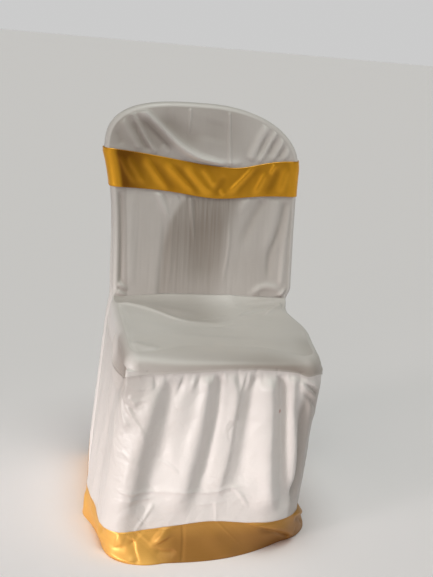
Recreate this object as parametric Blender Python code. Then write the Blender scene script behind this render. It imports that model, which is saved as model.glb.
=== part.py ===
"""Fitted satin cover for an armless banquet chair, with a border round its hem and a sash round its back.

The cover hangs as it does on its chair, and the chair itself is left out. Metres, +X to the right as seen
from the front, +Y towards the rear, +Z up. The shape is worked out with the floor at Z = 0, the middle of
the seat at X = 0 and the front of the seat at Y = 0, and is moved at the end so that its box is centred
over the origin.
"""

import math
from collections import namedtuple

import bmesh
import bpy
from mathutils import Vector

# The cloth
CLOTH = 0.0015
SEAM_GAP = 0.0006

# The seat
SEAT_TOP = 0.444
SEAT_DEPTH = 0.386
SEAT_FRONT_DROP = 0.008
SEAT_ROUND = 0.014
SEAT_ROUND_REAR = 0.003
SEAM_Z = 0.389
SEAM_RISE_FRONT = 0.017
SEAM_DIP_LEFT = 0.034
SEAM_DIP_RIGHT = 0.026

# The back
RECLINE = math.radians(11.9)
BACK_TOP = 0.900
SLEEVE_DEPTH = 0.045
BACK_ROUND = 0.018
REAR_Y = 0.497

# Each half of the back: its half width at the seat, just above the seat and at the shoulder, the height
# of the shoulder, and how square the rounded top is.
Half = namedtuple("Half", "foot waist shoulder shoulder_z power")
LEFT_HALF = Half(0.2045, 0.2060, 0.2370, 0.775, 3.0)
RIGHT_HALF = Half(0.2115, 0.2255, 0.2315, 0.760, 2.15)
WAIST_RISE = 0.040

# The side seams, between the rear panel and the others
SIDE_SEAM = 0.024
SIDE_SEAM_FOOT = 0.0025
SIDE_SEAM_RISE = 0.035
SIDE_SEAM_HEM_Y = 0.250

# The hem border
BORDER_Z = 0.066
BORDER_BULGE = 0.008

# The sash
SASH_CLEARANCE = 0.0030
SASH_TOP = 0.785
SASH_TOP_SAG = 0.027
SASH_TOP_SLOPE = 0.012
SASH_TOP_LOW_X = 0.060
SASH_BOTTOM = 0.698
SASH_BOTTOM_SAG = 0.014
SASH_BOTTOM_LOW_X = 0.020
SASH_PRESS = 0.012
SASH_PRESS_FADE = 0.035

# How finely the panels are cut
BACK_ROWS = 15
BACK_COLUMNS = 18
ROUND_STEPS = 3
SKIRT_ROWS = 9
BORDER_ROWS = 3
REAR_LOWER_ROWS = 5
SASH_ROWS = 4

# A horizontal outline: its corners as (x, y), how round they are, and how far each side bows out.
Outline = namedtuple(
    "Outline",
    "rear_left front_left front_right rear_right round_left round_right round_rear"
    " bow_left bow_front bow_right",
)
SEAT_OUTLINE = Outline(
    (-0.2045, 0.4985), (-0.2090, -0.004), (0.2020, -0.004), (0.2065, 0.4985),
    0.030, 0.040, BACK_ROUND, 0.005, 0.004, 0.000,
)
SEAM_OUTLINE = Outline(
    (-0.2100, 0.4990), (-0.2080, -0.006), (0.2110, -0.004), (0.2130, 0.4990),
    0.035, 0.045, BACK_ROUND, 0.007, 0.004, 0.004,
)
BORDER_OUTLINE = Outline(
    (-0.2310, 0.5000), (-0.2380, -0.022), (0.1960, -0.018), (0.2260, 0.5000),
    0.055, 0.105, BACK_ROUND, 0.010, 0.000, 0.012,
)
HEM_OUTLINE = Outline(
    (-0.2300, 0.5030), (-0.2280, -0.093), (0.2350, 0.064), (0.2360, 0.5030),
    0.125, 0.075, BACK_ROUND, 0.014, 0.026, 0.006,
)

# Where an outline spreads further: the distance round from the middle of the front, how wide and how far
Spread = namedtuple("Spread", "outline around width out")
SPREADS = (
    Spread("seat", 0.400, 0.080, 0.012),
    Spread("border", -0.410, 0.090, 0.009),
    Spread("hem", -0.410, 0.090, 0.009),
    Spread("hem", -0.425, 0.045, 0.011),
)

# The stretches of an outline, counter-clockwise from above, with the number of cloth columns along each
SKIRT_STRETCHES = (
    ("left_front", 6),
    ("front_left", 6),
    ("front", 20),
    ("front_right", 6),
    ("right_front", 6),
)
REAR_STRETCHES = (
    ("right_rear", 1),
    ("rear_right", ROUND_STEPS),
    ("rear", BACK_COLUMNS),
    ("rear_left", ROUND_STEPS),
    ("left_rear", 1),
)
SASH_STRETCHES = (
    ("left_front", 1),
    ("front_left", 4),
    ("front", 20),
    ("front_right", 4),
    ("right_front", 1),
    ("rear_right", 4),
    ("rear", 10),
    ("rear_left", 4),
)

# A soft ridge, or a trough where its height is negative, along a straight line on a panel. Places on the
# back and the sash are (x, z), on the seat (x, y), and on the skirt (distance round from the middle, z).
Fold = namedtuple("Fold", "start end width height")
BACK_FOLDS = (
    Fold((-0.163, 0.880), (-0.010, 0.765), 0.016, 0.0045),
    Fold((-0.181, 0.868), (-0.116, 0.785), 0.014, 0.0030),
    Fold((-0.125, 0.870), (-0.045, 0.800), 0.014, -0.0030),
    Fold((0.171, 0.852), (0.140, 0.785), 0.016, 0.0030),
    Fold((0.060, 0.880), (0.060, 0.780), 0.014, 0.0025),
    Fold((-0.170, 0.660), (-0.165, 0.480), 0.016, -0.0030),
    Fold((-0.010, 0.640), (0.000, 0.480), 0.050, -0.0030),
    Fold((0.130, 0.640), (0.170, 0.490), 0.020, 0.0025),
)
SEAT_FOLDS = (
    Fold((-0.190, 0.340), (-0.068, 0.253), 0.020, 0.0040),
    Fold((0.180, 0.330), (0.090, 0.280), 0.018, 0.0030),
    Fold((-0.060, 0.120), (0.080, 0.150), 0.060, -0.0030),
)
SKIRT_FOLDS = (
    Fold((-0.118, 0.385), (-0.150, 0.290), 0.016, -0.0060),
    Fold((-0.152, 0.280), (-0.168, 0.030), 0.022, -0.0110),
    Fold((-0.205, 0.340), (-0.215, 0.050), 0.026, 0.0070),
    Fold((-0.100, 0.330), (-0.110, 0.050), 0.028, 0.0070),
    Fold((-0.036, 0.385), (-0.050, 0.100), 0.018, -0.0040),
    Fold((0.034, 0.385), (0.012, 0.060), 0.018, -0.0060),
    Fold((0.062, 0.370), (0.088, 0.090), 0.024, 0.0070),
    Fold((0.108, 0.365), (0.125, 0.100), 0.016, -0.0070),
    Fold((0.150, 0.360), (0.158, 0.090), 0.018, 0.0060),
    Fold((0.196, 0.340), (0.215, 0.060), 0.020, -0.0060),
    Fold((-0.300, 0.340), (-0.320, 0.060), 0.030, -0.0040),
    Fold((0.330, 0.330), (0.345, 0.060), 0.040, 0.0050),
)
SASH_FOLDS = (
    Fold((-0.150, 0.770), (-0.085, 0.700), 0.014, 0.0030),
    Fold((-0.060, 0.760), (0.010, 0.700), 0.020, 0.0035),
    Fold((0.125, 0.765), (0.060, 0.700), 0.014, 0.0030),
    Fold((0.185, 0.765), (0.150, 0.700), 0.016, 0.0025),
)

# Marks on a vertex at a seam or a hem: which part of its normal the thickness leaves out there
LEVEL_EDGE = 1
UPRIGHT_EDGE = 2

Finish = namedtuple("Finish", "name colour roughness sheen")
WHITE_SATIN = Finish("white_satin", (0.83, 0.81, 0.79), 0.42, 0.35)
GOLD_SATIN = Finish("gold_satin", (0.60, 0.31, 0.055), 0.34, 0.30)


# ---------------------------------------------------------------- small maths


def smooth(t):
    """Goes from 0 to 1 with level ends as t does."""
    t = min(max(t, 0.0), 1.0)
    return t * t * (3.0 - 2.0 * t)


def mix(a, b, t):
    """The value, or the point, that lies t of the way from a to b."""
    return a + (b - a) * t


def bump(x, middle, width):
    """A soft bump of height 1."""
    return math.exp(-(((x - middle) / width) ** 2))


def toward(a, b, distance):
    """The point at this distance from a on the way to b."""
    return a + (b - a).normalized() * distance


def fold_height(folds, place):
    """How far folds lift the cloth at this place on its panel."""
    total = 0.0
    for fold in folds:
        start = Vector(fold.start)
        along = Vector(fold.end) - start
        offset = Vector(place) - start
        t = min(max(offset.dot(along) / along.length_squared, 0.0), 1.0)
        total += fold.height * bump((offset - along * t).length, 0.0, fold.width)
    return total


def resample(line, places):
    """The points of a polyline at these fractions of its length."""
    lengths = [0.0]
    for a, b in zip(line, line[1:]):
        lengths.append(lengths[-1] + (b - a).length)
    found = []
    i = 0
    for place in places:
        target = place * lengths[-1]
        while i < len(line) - 2 and lengths[i + 1] < target:
            i += 1
        found.append(mix(line[i], line[i + 1], (target - lengths[i]) / (lengths[i + 1] - lengths[i])))
    return found


# ---------------------------------------------------------------- the shape of the back


def front_y(z):
    """The reclined front of the back."""
    return SEAT_DEPTH + math.tan(RECLINE) * (z - SEAT_TOP)


def rear_y(z):
    """The rear panel hugs the top of the back, then hangs straight down."""
    hugging = front_y(z) + SLEEVE_DEPTH
    hanging = REAR_Y + 0.003 * (1.0 - z / BACK_TOP)
    softness = 0.020
    near = max(softness - abs(hugging - hanging), 0.0)
    return max(hugging, hanging) + near * near / (4.0 * softness)


def side_x(half, z):
    """The half width of the back below its shoulder: it fills out above the seat and towards the shoulder."""
    up = (z - SEAT_TOP) / (half.shoulder_z - SEAT_TOP)
    waist = mix(half.foot, half.waist, smooth((z - SEAT_TOP) / WAIST_RISE))
    return waist + (half.shoulder - half.waist) * (0.2 * up + 0.8 * up**4)


def arch_point(half, angle):
    """A point of the rounded top as (half width, z), from the shoulder (angle 0) to a quarter turn."""
    across = abs(math.cos(angle)) ** (2.0 / half.power)
    up = abs(math.sin(angle)) ** (2.0 / half.power)
    return Vector((half.shoulder * across, half.shoulder_z + (BACK_TOP - half.shoulder_z) * up))


def side_line(half, foot_z):
    """The outline as (half width, z), from the foot of the back to the middle of its rounded shoulder."""
    steps = 40
    heights = [mix(foot_z, half.shoulder_z, i / steps) for i in range(steps)]
    straight = [Vector((side_x(half, z), z)) for z in heights]
    return straight + [arch_point(half, math.pi / 4 * i / steps) for i in range(steps + 1)]


def half_width(half, z):
    """The half width of the back at any height below its top."""
    if z < half.shoulder_z:
        return side_x(half, z)
    up = (z - half.shoulder_z) / (BACK_TOP - half.shoulder_z)
    return half.shoulder * (1.0 - up**half.power) ** (1.0 / half.power)


def mirrored(line):
    """The same line on the left."""
    return [Vector((-x, z)) for x, z in line]


def top_line():
    """The outline over the top, from the middle of one shoulder to that of the other."""
    steps = 60
    left = [arch_point(LEFT_HALF, math.pi / 4 * (1 + i / steps)) for i in range(steps)]
    right = [arch_point(RIGHT_HALF, math.pi / 4 * (2 - i / steps)) for i in range(steps + 1)]
    return mirrored(left) + right


def side_places():
    """Where the rows of the back lie along its sides, closer together at the side seam's bend and the top."""
    close = [0.0, 0.028, 0.060, 0.095]
    rest = BACK_ROWS - len(close) + 1
    return close + [mix(close[-1], 1.0, math.sin(math.pi / 2 * i / rest) ** 0.85) for i in range(1, rest + 1)]


def top_places():
    """Where the columns of the back lie along its top, closer together at the shoulders."""
    even = [i / BACK_COLUMNS for i in range(1, BACK_COLUMNS)]
    return [t - 0.06 * math.sin(2 * math.pi * t) for t in even]


def back_outline(foot_z):
    """The stations round the back, and the outward direction at each, both as (x, z)."""
    stations = mirrored(resample(side_line(LEFT_HALF, foot_z), side_places()))
    stations += resample(top_line(), top_places())
    stations += reversed(resample(side_line(RIGHT_HALF, foot_z), side_places()))
    outward = []
    for i in range(len(stations)):
        tangent = stations[min(i + 1, len(stations) - 1)] - stations[max(i - 1, 0)]
        outward.append(Vector((-tangent.y, tangent.x)).normalized())
    outward[0] = Vector((-1.0, 0.0))
    outward[-1] = Vector((1.0, 0.0))
    return stations, outward


def side_seam(z):
    """How far behind the front of the back its side seam runs: it comes to the front edge at the seat."""
    return mix(SIDE_SEAM_FOOT, SIDE_SEAM, smooth((z - SEAT_TOP) / SIDE_SEAM_RISE))


def front_round(z):
    """How round the front edge of the back is. It is sharper at the seat."""
    return min(BACK_ROUND, side_seam(z) - SEAM_GAP)


# ---------------------------------------------------------------- the shape of the lower cover


def rounded(a, b, c, size, t):
    """A point of the rounded corner b, between the sides from a and to c."""
    handle = 0.5523
    start = toward(b, a, size)
    end = toward(b, c, size)
    s = 1.0 - t
    inner = mix(start, b, handle) * (3 * s * s * t) + mix(end, b, handle) * (3 * s * t * t)
    return start * s**3 + inner + end * t**3


def bowed(start, end, bow, t):
    """A point of a side that bows out to the right of its direction."""
    along = (end - start).normalized()
    arch = max(4.0 * t * (1.0 - t), 0.0) ** 1.2
    return mix(start, end, t) + Vector((along.y, -along.x)) * bow * arch


def outline_point(outline, stretch, t, seam_y):
    """A point t of the way along one stretch of an outline. seam_y is where its side seams lie."""
    rear_left, front_left, front_right, rear_right = (Vector(place) for place in outline[:4])
    rear = outline.round_rear
    if stretch == "front_left":
        return rounded(rear_left, front_left, front_right, outline.round_left, t)
    if stretch == "front_right":
        return rounded(front_left, front_right, rear_right, outline.round_right, t)
    if stretch == "rear_right":
        return rounded(front_right, rear_right, rear_left, rear, t)
    if stretch == "rear_left":
        return rounded(rear_right, rear_left, front_left, rear, t)
    if stretch == "rear":
        return mix(toward(rear_right, rear_left, rear), toward(rear_left, rear_right, rear), t)
    if stretch == "front":
        start = toward(front_left, front_right, outline.round_left)
        end = toward(front_right, front_left, outline.round_right)
        return bowed(start, end, outline.bow_front, t)
    if stretch.startswith("left"):
        start = toward(rear_left, front_left, rear)
        end = toward(front_left, rear_left, outline.round_left)
        bow = outline.bow_left
    else:
        start = toward(front_right, rear_right, outline.round_right)
        end = toward(rear_right, front_right, rear)
        bow = outline.bow_right
    seam = (seam_y - start.y) / (end.y - start.y)
    first = stretch in ("left_rear", "right_front")
    return bowed(start, end, bow, seam * t if first else mix(seam, 1.0, t))


def stations_of(stretches, closed=False):
    """The columns of a panel, as pairs of a stretch and a fraction of it."""
    found = [(name, i / count) for name, count in stretches for i in range(count)]
    return found if closed else found + [(stretches[-1][0], 1.0)]


def distance_round(place):
    """How far round the cover a place (x, y) lies from the middle of the front."""
    x, y = place
    off_front = max(smooth((abs(x) - 0.12) / 0.06), smooth((y - 0.12) / 0.06))
    return x + math.copysign(max(y, 0.0) * off_front, x)


def seam_height(across):
    """The seat's lower seam: it rises to the right of the front and dips at the sides."""
    front = SEAM_RISE_FRONT * bump(across, 0.06, 0.16) - 0.006 * bump(across, 0.170, 0.018)
    sides = SEAM_DIP_LEFT * bump(across, -0.29, 0.07) + SEAM_DIP_RIGHT * bump(across, 0.34, 0.08)
    return SEAM_Z + front - sides


def border_height(across):
    """The top of the hem border: lower at the left of the front, where it spreads, higher at the right."""
    right = 0.013 * bump(across, 0.05, 0.10) + 0.006 * bump(across, 0.20, 0.07)
    return BORDER_Z - 0.009 * bump(across, -0.20, 0.09) + right


class Column:
    """One column of the lower cover's cloth, from the seat down to the floor."""

    def __init__(self, stretch, t, side_shift=0.0):
        upper_seam = SEAT_DEPTH + SIDE_SEAM_FOOT + side_shift
        lower_seam = SIDE_SEAM_HEM_Y + side_shift
        self.seat = outline_point(SEAT_OUTLINE, stretch, t, upper_seam)
        self.seam = outline_point(SEAM_OUTLINE, stretch, t, upper_seam)
        self.border = outline_point(BORDER_OUTLINE, stretch, t, lower_seam)
        self.hem = outline_point(HEM_OUTLINE, stretch, t, lower_seam)
        self.across = distance_round(self.seam)
        self.seam_z = seam_height(self.across)
        self.border_z = border_height(self.across)
        self.outward = self.direction(stretch, t, upper_seam)
        for spread in SPREADS:
            place = getattr(self, spread.outline)
            out = spread.out * bump(distance_round(place), spread.around, spread.width)
            setattr(self, spread.outline, place + self.outward * out)

    @staticmethod
    def direction(stretch, t, seam_y):
        """Outward in plan, from the outline's run at the seam."""
        step = 0.01
        before = outline_point(SEAM_OUTLINE, stretch, max(t - step, 0.0), seam_y)
        after = outline_point(SEAM_OUTLINE, stretch, min(t + step, 1.0), seam_y)
        run = after - before
        return Vector((run.y, -run.x)).normalized()

    def plan(self, z):
        """Where the column is in plan at this height, without its folds."""
        if z >= self.seam_z:
            edge_z = SEAT_TOP - SEAT_ROUND
            return mix(self.seat, self.seam, min(max((edge_z - z) / (edge_z - self.seam_z), 0.0), 1.0))
        if z >= self.border_z:
            return mix(self.seam, self.border, (self.seam_z - z) / (self.seam_z - self.border_z))
        down = 1.0 - z / self.border_z
        bulge = BORDER_BULGE * (bump(self.across, 0.13, 0.09) - 0.3 * bump(self.across, -0.15, 0.10))
        return mix(self.border, self.hem, down) + self.outward * bulge * math.sin(math.pi * down)

    def point(self, z):
        """Where the cloth is at this height."""
        place = self.plan(z)
        lift = fold_height(SKIRT_FOLDS, (distance_round(place), z)) if z < self.seam_z else 0.0
        place = place + self.outward * lift
        return Vector((place.x, place.y, z))


# ---------------------------------------------------------------- meshes


def remove_everything():
    """Empties the scene."""
    for thing in list(bpy.data.objects):
        bpy.data.objects.remove(thing, do_unlink=True)


def satin(finish):
    """A satin's material."""
    material = bpy.data.materials.new(finish.name)
    material.use_nodes = True
    shader = material.node_tree.nodes["Principled BSDF"]
    shader.inputs["Base Color"].default_value = (*finish.colour, 1.0)
    shader.inputs["Roughness"].default_value = finish.roughness
    shader.inputs["Sheen Weight"].default_value = finish.sheen
    return material


def new_sheet(columns, rows):
    """A flat grid of cloth whose vertices carry their column, row and edge marks."""
    bm = bmesh.new()
    column_of = bm.verts.layers.int.new("column")
    row_of = bm.verts.layers.int.new("row")
    bm.verts.layers.int.new("edge")
    bmesh.ops.create_grid(bm, x_segments=columns, y_segments=rows, size=0.5)
    for vert in bm.verts:
        vert[column_of] = round((vert.co.x + 0.5) * columns)
        vert[row_of] = round((vert.co.y + 0.5) * rows)
    return bm


def shape_grid(bm, place, mark):
    """Moves each vertex of a grid to place(column, row) and gives it mark(column, row)."""
    column_of = bm.verts.layers.int["column"]
    row_of = bm.verts.layers.int["row"]
    edge_of = bm.verts.layers.int["edge"]
    for vert in bm.verts:
        vert.co = place(vert[column_of], vert[row_of])
        vert[edge_of] = mark(vert[column_of], vert[row_of])


def add_band(bm, columns, rows, steps, place, mark):
    """Runs cloth on from a grid's left side, top and right side, in rows placed by place(station, step).

    Stations count from the foot of the left side, over the top, to the foot of the right side.
    """
    column_of = bm.verts.layers.int["column"]
    row_of = bm.verts.layers.int["row"]
    edge_of = bm.verts.layers.int["edge"]

    def station(vert):
        column, row = vert[column_of], vert[row_of]
        if column == 0:
            return row
        if row == rows:
            return rows + column
        return 2 * rows + columns - row

    def on_rim(edge):
        a, b = edge.verts
        both_left = a[column_of] == b[column_of] == 0
        both_right = a[column_of] == b[column_of] == columns
        return both_left or both_right or a[row_of] == b[row_of] == rows

    edges = [edge for edge in bm.edges if on_rim(edge)]
    for step in range(1, steps + 1):
        made = bmesh.ops.extrude_edge_only(bm, edges=edges)["geom"]
        fresh = [part for part in made if isinstance(part, bmesh.types.BMVert)]
        edges = [part for part in made if isinstance(part, bmesh.types.BMEdge)]
        for vert in fresh:
            vert.co = place(station(vert), step)
            vert[edge_of] = mark(station(vert), step)


def cloth_object(name, bm, material):
    """Gives a sheet its thickness, half to each side, and makes it a closed, smooth object.

    Where the edge of a sheet meets a neighbour or the floor, its thickness runs along that seam's plane,
    so that the gap to the neighbour stays even and the hem lies flat.
    """
    bmesh.ops.recalc_face_normals(bm, faces=bm.faces)
    bm.normal_update()
    edge_of = bm.verts.layers.int["edge"]
    half_of = bm.verts.layers.float_vector.new("half")
    for vert in bm.verts:
        across = vert.normal.copy()
        if vert[edge_of] & LEVEL_EDGE:
            across.z = 0.0
        if vert[edge_of] & UPRIGHT_EDGE:
            across.y = 0.0
        vert[half_of] = across.normalized() * (CLOTH / 2)
    made = bmesh.ops.extrude_face_region(bm, geom=bm.faces[:], use_keep_orig=True)["geom"]
    inner = {part for part in made if isinstance(part, bmesh.types.BMVert)}
    for vert in bm.verts:
        vert.co += vert[half_of] * (-1.0 if vert in inner else 1.0)
    bmesh.ops.recalc_face_normals(bm, faces=bm.faces)
    mesh = bpy.data.meshes.new(name)
    bm.to_mesh(mesh)
    bm.free()
    mesh.shade_smooth()
    mesh.set_sharp_from_angle(angle=math.radians(50))
    mesh.materials.append(material)
    thing = bpy.data.objects.new(name, mesh)
    bpy.context.scene.collection.objects.link(thing)
    return thing


def patch(left, right, bottom, top, column, row, columns, rows):
    """A point of the smooth patch between four edges, each a list of points."""
    u = column / columns
    v = (left[row] - left[0]).length / (left[-1] - left[0]).length
    ruled = mix(bottom[column], top[column], v) + mix(left[row], right[row], u)
    corners = mix(mix(left[0], right[0], u), mix(left[rows], right[rows], u), v)
    return ruled - corners


# ---------------------------------------------------------------- the pieces


def sash_edges(x):
    """The heights of the sash's lower and upper edges at the front. It sags where it was tied."""
    low = SASH_BOTTOM - SASH_BOTTOM_SAG * bump(x, SASH_BOTTOM_LOW_X, 0.10)
    spread = 0.19 if x < SASH_TOP_LOW_X else 0.09
    return low, SASH_TOP - SASH_TOP_SLOPE * x - SASH_TOP_SAG * bump(x, SASH_TOP_LOW_X, spread)


def back_relief(x, z):
    """The folds in the front of the back, which the sash presses flat."""
    low, high = sash_edges(x)
    away = max(low - z, z - high) - SASH_PRESS
    return fold_height(BACK_FOLDS, (x, z)) * smooth(away / SASH_PRESS_FADE)


def back_panel_grid(foot_z, inset, depth):
    """The plate of a back panel, as a function of a column and a row.

    inset(z) is how far it stays inside the outline, and depth(z) where it is in Y.
    """
    stations, outward = back_outline(foot_z)
    rim = [place - out * inset(place.y) for place, out in zip(stations, outward)]
    rim[0].y = rim[-1].y = foot_z
    left = rim[: BACK_ROWS + 1]
    top = rim[BACK_ROWS : BACK_ROWS + BACK_COLUMNS + 1]
    right = rim[BACK_ROWS + BACK_COLUMNS :][::-1]
    bottom = [mix(left[0], right[0], i / BACK_COLUMNS) for i in range(BACK_COLUMNS + 1)]

    def place(column, row):
        x, z = patch(left, right, bottom, top, column, row, BACK_COLUMNS, BACK_ROWS)
        return Vector((x, depth(z), z))

    return place


def make_front_panel(material):
    """The front of the back, turned over the sides and the top as far as the side seam."""
    foot_z = SEAT_TOP + CLOTH / 2 + SEAM_GAP
    stations, outward = back_outline(foot_z)
    plate = back_panel_grid(foot_z, front_round, front_y)
    steps = ROUND_STEPS + 1

    def plate_point(column, row):
        point = plate(column, row)
        inside = 0 < column < BACK_COLUMNS and 0 < row < BACK_ROWS
        point.y -= back_relief(point.x, point.z) if inside else 0.0
        return point

    def band_point(station, step):
        place, out = stations[station], outward[station]
        size = front_round(place.y)
        if step == steps:
            return Vector((place.x, front_y(place.y) + side_seam(place.y) - SEAM_GAP / 2, place.y))
        turn = math.pi / 2 * step / ROUND_STEPS
        x, z = place - out * size * (1.0 - math.sin(turn))
        return Vector((x, front_y(z) + size * (1.0 - math.cos(turn)), z))

    def band_mark(station, step):
        foot = station in (0, len(stations) - 1)
        return (LEVEL_EDGE if foot else 0) | (UPRIGHT_EDGE if step == steps else 0)

    bm = new_sheet(BACK_COLUMNS, BACK_ROWS)
    shape_grid(bm, plate_point, lambda column, row: LEVEL_EDGE if row == 0 else 0)
    add_band(bm, BACK_COLUMNS, BACK_ROWS, steps, band_point, band_mark)
    return cloth_object("back_front_panel", bm, material)


def make_rear_panel(material):
    """The rear panel, from the top of the back to the hem border, turned forward to the side seams."""
    foot_z = SEAT_TOP + CLOTH / 2 + SEAM_GAP
    stations, outward = back_outline(foot_z)
    plate = back_panel_grid(foot_z, lambda z: BACK_ROUND, rear_y)
    columns = [Column(stretch, t, SEAM_GAP / 2) for stretch, t in stations_of(REAR_STRETCHES)]
    left_side = columns[::-1][: ROUND_STEPS + 2]
    right_side = columns[: ROUND_STEPS + 2]
    across = columns[ROUND_STEPS + 1 : len(columns) - ROUND_STEPS - 1][::-1]
    upper = [SEAM_Z, SEAT_TOP - SEAT_ROUND]
    lower = [mix(BORDER_Z + SEAM_GAP, SEAM_Z, i / REAR_LOWER_ROWS) for i in range(REAR_LOWER_ROWS)]
    heights = lower + upper
    rows = len(heights) + BACK_ROWS
    steps = ROUND_STEPS + 1

    def plate_point(column, row):
        if row >= len(heights):
            return plate(column, row - len(heights))
        return across[column].point(heights[row])

    def band_point(station, step):
        sides = 2 * rows + BACK_COLUMNS - station
        if station < len(heights):
            return left_side[steps - step].point(heights[station])
        if sides < len(heights):
            return right_side[steps - step].point(heights[sides])
        place, out = stations[station - len(heights)], outward[station - len(heights)]
        if step == steps:
            return Vector((place.x, front_y(place.y) + side_seam(place.y) + SEAM_GAP / 2, place.y))
        turn = math.pi / 2 * step / ROUND_STEPS
        x, z = place - out * BACK_ROUND * (1.0 - math.sin(turn))
        return Vector((x, rear_y(z) - BACK_ROUND * (1.0 - math.cos(turn)), z))

    def band_mark(station, step):
        foot = station in (0, 2 * rows + BACK_COLUMNS)
        return (LEVEL_EDGE if foot else 0) | (UPRIGHT_EDGE if step == steps else 0)

    bm = new_sheet(BACK_COLUMNS, rows)
    shape_grid(bm, plate_point, lambda column, row: LEVEL_EDGE if row == 0 else 0)
    add_band(bm, BACK_COLUMNS, rows, steps, band_point, band_mark)
    return cloth_object("back_rear_panel", bm, material)


def make_seat_panel(material):
    """The top of the seat, turned down at the front and the sides to the skirt's seam."""
    columns = [Column(stretch, t, -SEAM_GAP / 2) for stretch, t in stations_of(SKIRT_STRETCHES)]
    rows = SKIRT_STRETCHES[0][1] + SKIRT_STRETCHES[1][1] // 2
    across = len(columns) - 1 - 2 * rows
    drop_steps = 2

    def top_z(y):
        return SEAT_TOP - SEAT_FRONT_DROP * max(1.0 - y / SEAT_DEPTH, 0.0) ** 2

    def size_at(column):
        behind = smooth((column.seat.y - SEAT_DEPTH + 0.06) / 0.05)
        return mix(SEAT_ROUND, SEAT_ROUND_REAR, behind)

    rim = [column.seat - column.outward * size_at(column) for column in columns]
    left = rim[: rows + 1]
    front = rim[rows : rows + across + 1]
    right = rim[rows + across :][::-1]
    rear = [mix(left[0], right[0], i / across) for i in range(across + 1)]

    def plate_point(column, row):
        x, y = patch(left, right, rear, front, column, row, across, rows)
        inside = 0 < column < across and 0 < row < rows
        lift = fold_height(SEAT_FOLDS, (x, y)) if inside else 0.0
        return Vector((x, y, top_z(y) + lift))

    def band_point(station, step):
        column = columns[station]
        size = size_at(column)
        top = top_z(rim[station].y)
        if step > ROUND_STEPS:
            down = (step - ROUND_STEPS) / drop_steps
            z = mix(top - size, column.seam_z + SEAM_GAP / 2, down)
            place = mix(column.seat, column.seam, down)
            return Vector((place.x, place.y, z))
        turn = math.pi / 2 * step / ROUND_STEPS
        x, y = column.seat - column.outward * size * (1.0 - math.sin(turn))
        return Vector((x, y, top - size * (1.0 - math.cos(turn))))

    def band_mark(station, step):
        end = station in (0, len(columns) - 1)
        return (UPRIGHT_EDGE if end else 0) | (LEVEL_EDGE if step == ROUND_STEPS + drop_steps else 0)

    bm = new_sheet(across, rows)
    shape_grid(bm, plate_point, lambda column, row: UPRIGHT_EDGE if row == 0 else 0)
    add_band(bm, across, rows, ROUND_STEPS + drop_steps, band_point, band_mark)
    return cloth_object("seat_panel", bm, material)


def make_skirt(material):
    """The gathered skirt, from the seat's seam to the border, round the front and both sides."""
    columns = [Column(stretch, t, -SEAM_GAP / 2) for stretch, t in stations_of(SKIRT_STRETCHES)]

    def place(column, row):
        line = columns[column]
        low = line.border_z + SEAM_GAP / 2
        return line.point(mix(low, line.seam_z - SEAM_GAP / 2, row / SKIRT_ROWS))

    def mark(column, row):
        end = column in (0, len(columns) - 1)
        return (LEVEL_EDGE if row in (0, SKIRT_ROWS) else 0) | (UPRIGHT_EDGE if end else 0)

    bm = new_sheet(len(columns) - 1, SKIRT_ROWS)
    shape_grid(bm, place, mark)
    return cloth_object("skirt", bm, material)


def make_border(material):
    """The border all round the hem, which spreads on the floor at the left of the front."""
    columns = [Column(stretch, t) for stretch, t in stations_of(SKIRT_STRETCHES + REAR_STRETCHES, True)]
    count = len(columns)

    def place(column, row):
        line = columns[column % count]
        return line.point(mix(0.0, line.border_z - SEAM_GAP / 2, row / BORDER_ROWS))

    bm = new_sheet(count, BORDER_ROWS)
    shape_grid(bm, place, lambda column, row: LEVEL_EDGE if row in (0, BORDER_ROWS) else 0)
    bmesh.ops.remove_doubles(bm, verts=bm.verts, dist=SEAM_GAP / 10)
    return cloth_object("hem_border", bm, material)


def sash_outline(z):
    """The outline of the sash round the back at this height."""
    left = -half_width(LEFT_HALF, z) - SASH_CLEARANCE
    right = half_width(RIGHT_HALF, z) + SASH_CLEARANCE
    front = front_y(z) - SASH_CLEARANCE / math.cos(RECLINE)
    rear = rear_y(z) + SASH_CLEARANCE
    size = BACK_ROUND + SASH_CLEARANCE
    return Outline(
        (left, rear), (left, front), (right, front), (right, rear), size, size, size, 0.0, 0.0, 0.0
    )


def make_sash(material):
    """The sash, a closed band drawn round the back, with slanting folds at the front."""
    stations = stations_of(SASH_STRETCHES, True)
    count = len(stations)

    def place(column, row):
        stretch, t = stations[column % count]
        middle_y = mix(front_y(SASH_TOP), rear_y(SASH_TOP), 0.5)
        flat = outline_point(sash_outline(SASH_TOP), stretch, t, middle_y)
        at_rear = smooth((flat.y - front_y(SASH_TOP)) / SLEEVE_DEPTH)
        low, high = sash_edges(flat.x)
        low = mix(low, SASH_BOTTOM, at_rear)
        high = mix(high, SASH_TOP, at_rear)
        z = mix(low, high, row / SASH_ROWS)
        x, y = outline_point(sash_outline(z), stretch, t, middle_y)
        lift = fold_height(SASH_FOLDS, (x, z)) if stretch == "front" else 0.0
        return Vector((x, y - lift * math.sin(math.pi * t) ** 0.5, z))

    bm = new_sheet(count, SASH_ROWS)
    shape_grid(bm, place, lambda column, row: 0)
    bmesh.ops.remove_doubles(bm, verts=bm.verts, dist=SEAM_GAP / 10)
    return cloth_object("sash", bm, material)


def centre_over_origin(pieces):
    """Moves the pieces so that the middle of their box is over the origin. The floor stays at Z = 0."""
    points = [vert.co for piece in pieces for vert in piece.data.vertices]
    shift = Vector((0.0, 0.0, 0.0))
    for axis in (0, 1):
        values = [point[axis] for point in points]
        shift[axis] = -(min(values) + max(values)) / 2
    for piece in pieces:
        for vert in piece.data.vertices:
            vert.co += shift


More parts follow.
